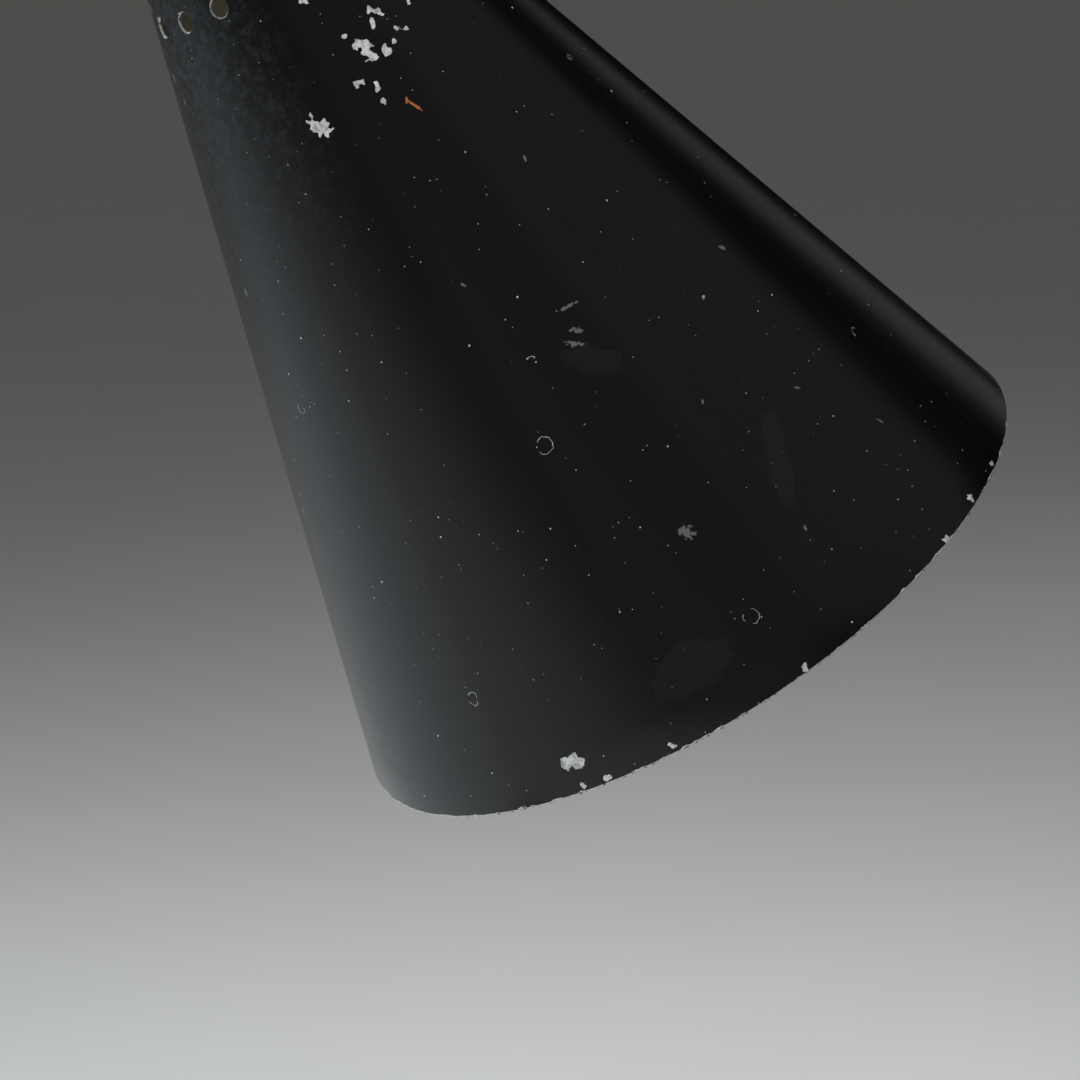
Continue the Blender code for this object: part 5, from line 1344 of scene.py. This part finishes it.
cutter_shape = bmesh.new()
for index in range(VENT_COUNT):
    drill = bmesh.new()
    spin(drill, [
        (0.0, -0.004), (VENT_RADIUS, -0.004), (VENT_RADIUS, -SHADE_WALL * 0.6),
        (VENT_RADIUS + 0.2 * VENT_FLARE, -SHADE_WALL * 0.25), (VENT_RADIUS + VENT_FLARE, SHADE_WALL * 0.15),
        (VENT_RADIUS + VENT_FLARE, 0.004), (0.0, 0.004),
    ], 36, closed=False)
    drill.transform(vent_axes(index))
    drill_mesh = bpy.data.meshes.new("drill")
    drill.to_mesh(drill_mesh)
    drill.free()
    cutter_shape.from_mesh(drill_mesh)
    bpy.data.meshes.remove(drill_mesh)
for face in cutter_shape.faces:
    face.material_index = 2
vent_drills = new_object("vent_drills", cutter_shape, (shade_black, shade_cream, bare_edge), SHADE_AXES)
cut(shade_shell, vent_drills)
smooth(shade_shell)
stands_for(shade_shell, "shade", "black_lacquer", "shade_shell")

# ---------------------------------------------------------------- lampholder
# The holder hangs on the nipple: a domed bakelite cap and a ribbed skirt screwed together, a shade ring on the
# skirt, and a porcelain insert that carries the brass screw shell and the centre contact.
HOLDER_RADIUS = 0.0195
HOLDER_WALL = 0.0022
HOLDER_RIBS = 45
RIB_DEPTH = 0.0004
SHELL_WALL = 0.0006

cap_low, cap_open, _ = measured("holder_cap", SHADE_AXES)
cap_long = cap_open - cap_low
holder_inside = HOLDER_RADIUS - HOLDER_WALL
cap_corner = 0.35 * cap_long
inner_corner = (holder_inside - cap_corner, cap_low + HOLDER_WALL + cap_corner)
holder_cap = spun("holder_cap_moulded", [
    (HOLDER_RADIUS, cap_open), (HOLDER_RADIUS, cap_open - 0.0030), (HOLDER_RADIUS - 0.0005, cap_open - 0.0034),
    (HOLDER_RADIUS - 0.0005, cap_open - 0.0042), (HOLDER_RADIUS, cap_open - 0.0046),
    *arc((HOLDER_RADIUS - cap_corner, cap_low + cap_corner), cap_corner, 0.0, -90.0, 10),
    (nipple_bore, cap_low), (nipple_bore, cap_low + HOLDER_WALL),
    *reversed(arc(inner_corner, cap_corner, 0.0, -90.0, 10)),
    (holder_inside, cap_open),
], 96, bakelite, SHADE_AXES, edge=0.0002)
stands_for(holder_cap, "shade", "bakelite", "holder_cap")

skirt_low, skirt_end, _ = measured("holder_skirt", SHADE_AXES)
ring_low, ring_high, ring_radius = measured("holder_ring", SHADE_AXES)
shape = bmesh.new()
spin(shape, [
    (HOLDER_RADIUS - 0.0003, skirt_low), (HOLDER_RADIUS, skirt_low + 0.0003),
    (HOLDER_RADIUS, skirt_low + 0.0020), (HOLDER_RADIUS - 0.0001, skirt_low + 0.0024),
    (HOLDER_RADIUS - 0.0001, ring_low - 0.0012), (HOLDER_RADIUS, ring_low - 0.0008),
    (HOLDER_RADIUS, skirt_end - 0.0003), (HOLDER_RADIUS - 0.0003, skirt_end), (holder_inside, skirt_end),
    (holder_inside, skirt_low),
], 4 * HOLDER_RIBS)
for vertex in shape.verts:
    inside_band = skirt_low + 0.0022 < vertex.co.z < ring_low - 0.0010
    part = round(math.atan2(vertex.co.y, vertex.co.x) / (math.tau / (4 * HOLDER_RIBS))) % 4
    if inside_band and vertex.co.xy.length > holder_inside + 0.001 and part < 2:
        vertex.co.xy *= 1.0 - RIB_DEPTH / HOLDER_RADIUS
holder_skirt = new_object("holder_skirt_moulded", shape, (bakelite,), SHADE_AXES, 25.0)
stands_for(holder_skirt, "shade", "bakelite", "holder_skirt")

shape = bmesh.new()
ring_bore = HOLDER_RADIUS + SEAT
spin(shape, [
    (ring_bore, ring_high), (ring_bore, ring_low), (ring_radius - 0.0005, ring_low),
    (ring_radius, ring_low + 0.0006), (ring_radius, ring_high - 0.0006), (ring_radius - 0.0005, ring_high),
], 4 * HOLDER_RIBS)
for vertex in shape.verts:
    part = round(math.atan2(vertex.co.y, vertex.co.x) / (math.tau / (4 * HOLDER_RIBS))) % 8
    if vertex.co.xy.length > ring_radius - 0.0001 and part < 3:
        vertex.co.xy *= 1.0 - 2.0 * RIB_DEPTH / HOLDER_RADIUS
holder_ring = new_object("holder_ring_moulded", shape, (bakelite,), SHADE_AXES, 25.0)
stands_for(holder_ring, "shade", "bakelite", "holder_ring")


def threaded_line(radius, depth, first, last, turns):
    """A wavy line along a rolled Edison thread."""
    steps = turns * 8
    return [
        (radius - depth * (0.5 - 0.5 * math.cos(math.tau * i / 8)), first + (last - first) * i / steps)
        for i in range(steps + 1)
    ]


screw_low, screw_high, screw_radius = measured("holder_thread", SHADE_AXES)
outer_line = threaded_line(screw_radius, 0.0003, screw_high, screw_low, 6)
holder_thread = spun("holder_thread_rolled", [
    *outer_line, *[(radius - SHELL_WALL + 0.0003, z) for radius, z in reversed(outer_line)],
], 72, tip_brass, SHADE_AXES)
stands_for(holder_thread, "shade", "brass", "holder_thread")

contact_low, contact_high, contact_radius = measured("holder_contact", SHADE_AXES)
holder_contact = spun("holder_contact_pressed", [
    (0.0, contact_high), (0.0016, contact_high), (0.0026, contact_high - 0.0004),
    (0.0030, contact_high - 0.0012), (0.0036, contact_low + 0.0008), (contact_radius, contact_low + 0.0003),
    (contact_radius, contact_low), (0.0, contact_low),
], 40, tip_brass, SHADE_AXES, closed=False)
stands_for(holder_contact, "shade", "brass", "holder_contact")

# ---------------------------------------------------------------- lamp
# An opal glass globe lamp with a nickel-plated screw cap, cemented on. It screws into the holder's brass shell
# until its tip meets the centre contact.
LAMP_WALL = 0.0009
CAP_WALL = 0.0005
LAMP_NECK = 0.0118

nickel, tree, shader, place = new_finish("nickel")
haze = noise(tree, place, 0.003, 4.0, 0.65)
spots = fade(tree, noise(tree, place, 0.0012, 3.0, 0.7), 0.64, 0.72)
feed(
    tree, shader, Metallic=1.0,
    Base_Color=blend(
        tree, sums(tree, "MULTIPLY", spots, 0.6), blend(tree, haze, (0.68, 0.65, 0.58), (0.55, 0.52, 0.46)),
        (0.22, 0.17, 0.11),
    ),
    Roughness=sums(tree, "MULTIPLY_ADD", haze, 0.2, 0.12), Normal=relief(tree, haze, 0.00003),
)
lamp_back, lamp_cap_end, lamp_cap_radius = measured("bulb_cap", SHADE_AXES)
lamp_cap_long = lamp_cap_end - lamp_back
cap_floor = lamp_back + 0.25 * lamp_cap_long
thread = threaded_line(lamp_cap_radius, 0.0007, lamp_cap_end - 0.0022, cap_floor + 0.0006, 5)
cap_inside = lamp_cap_radius - 0.0007 - CAP_WALL
bulb_cap = spun("bulb_cap_rolled", [
    (0.0, cap_floor + CAP_WALL), (cap_inside - 0.001, cap_floor + CAP_WALL),
    (cap_inside, cap_floor + 0.0015), (cap_inside, lamp_cap_end - 0.22 * lamp_cap_long),
    (lamp_cap_radius - CAP_WALL, lamp_cap_end - 0.21 * lamp_cap_long),
    (lamp_cap_radius - CAP_WALL, lamp_cap_end), (lamp_cap_radius, lamp_cap_end), *thread,
    (lamp_cap_radius - 0.002, cap_floor - 0.0004),
    (0.0045, lamp_back + 0.0012), (0.0040, lamp_back + 0.0003), (0.0030, lamp_back), (0.0, lamp_back),
], 72, nickel, SHADE_AXES, closed=False)
stands_for(bulb_cap, "shade", "nickel", "bulb_cap")

opal, tree, shader, place = new_finish("opal_glass")
milk = noise(tree, place, 0.02, 3.0)
feed(
    tree, shader, Base_Color=blend(tree, milk, (0.90, 0.89, 0.85), (0.83, 0.81, 0.75)),
    Roughness=sums(tree, "MULTIPLY_ADD", noise(tree, place, 0.003, 3.0), 0.06, 0.07),
    Subsurface_Weight=0.6, Subsurface_Radius=Vector((1.0, 0.9, 0.75)), Subsurface_Scale=0.004,
    Coat_Weight=0.3, Coat_Roughness=0.04, Normal=relief(tree, milk, 0.0001),
)
glass_low, glass_high, globe_radius = measured("bulb_glass", SHADE_AXES)
globe_centre = glass_high - globe_radius
neck_line = [(LAMP_NECK, glass_low), (LAMP_NECK, lamp_cap_end + SEAT)]
shoulder = arc((0.0, globe_centre), globe_radius, -36.0, 90.0, 40)
joining = (1.4 * LAMP_NECK, (globe_centre + 1.2 * lamp_cap_end) / 2.2)


def eased_line(points, parts=8):
    """A smooth line through points."""
    line = []
    for i in range(len(points) - 1):
        before = points[max(i - 1, 0)]
        first, second = points[i], points[i + 1]
        after = points[min(i + 2, len(points) - 1)]
        for t in (part / parts for part in range(parts)):
            line.append(tuple(
                0.5 * (2 * b + (c - a) * t + (2 * a - 5 * b + 4 * c - d) * t**2 + (3 * (b - c) - a + d) * t**3)
                for a, b, c, d in zip(before, first, second, after)
            ))
    return [*line, points[-1]]


outside = [neck_line[0], *eased_line([neck_line[1], joining, shoulder[0]]), *shoulder[1:-1], (0.0, glass_high)]
inside = [
    (radius - LAMP_WALL, z - LAMP_WALL * max(0.0, (z - globe_centre) / globe_radius))
    for radius, z in outside if radius > LAMP_WALL
]
inside.append((0.0, glass_high - LAMP_WALL))
bulb_glass = spun("bulb_glass_blown", [*reversed(outside), *inside], 96, opal, SHADE_AXES, closed=False)
stands_for(bulb_glass, "shade", "opal_glass", "bulb_glass")
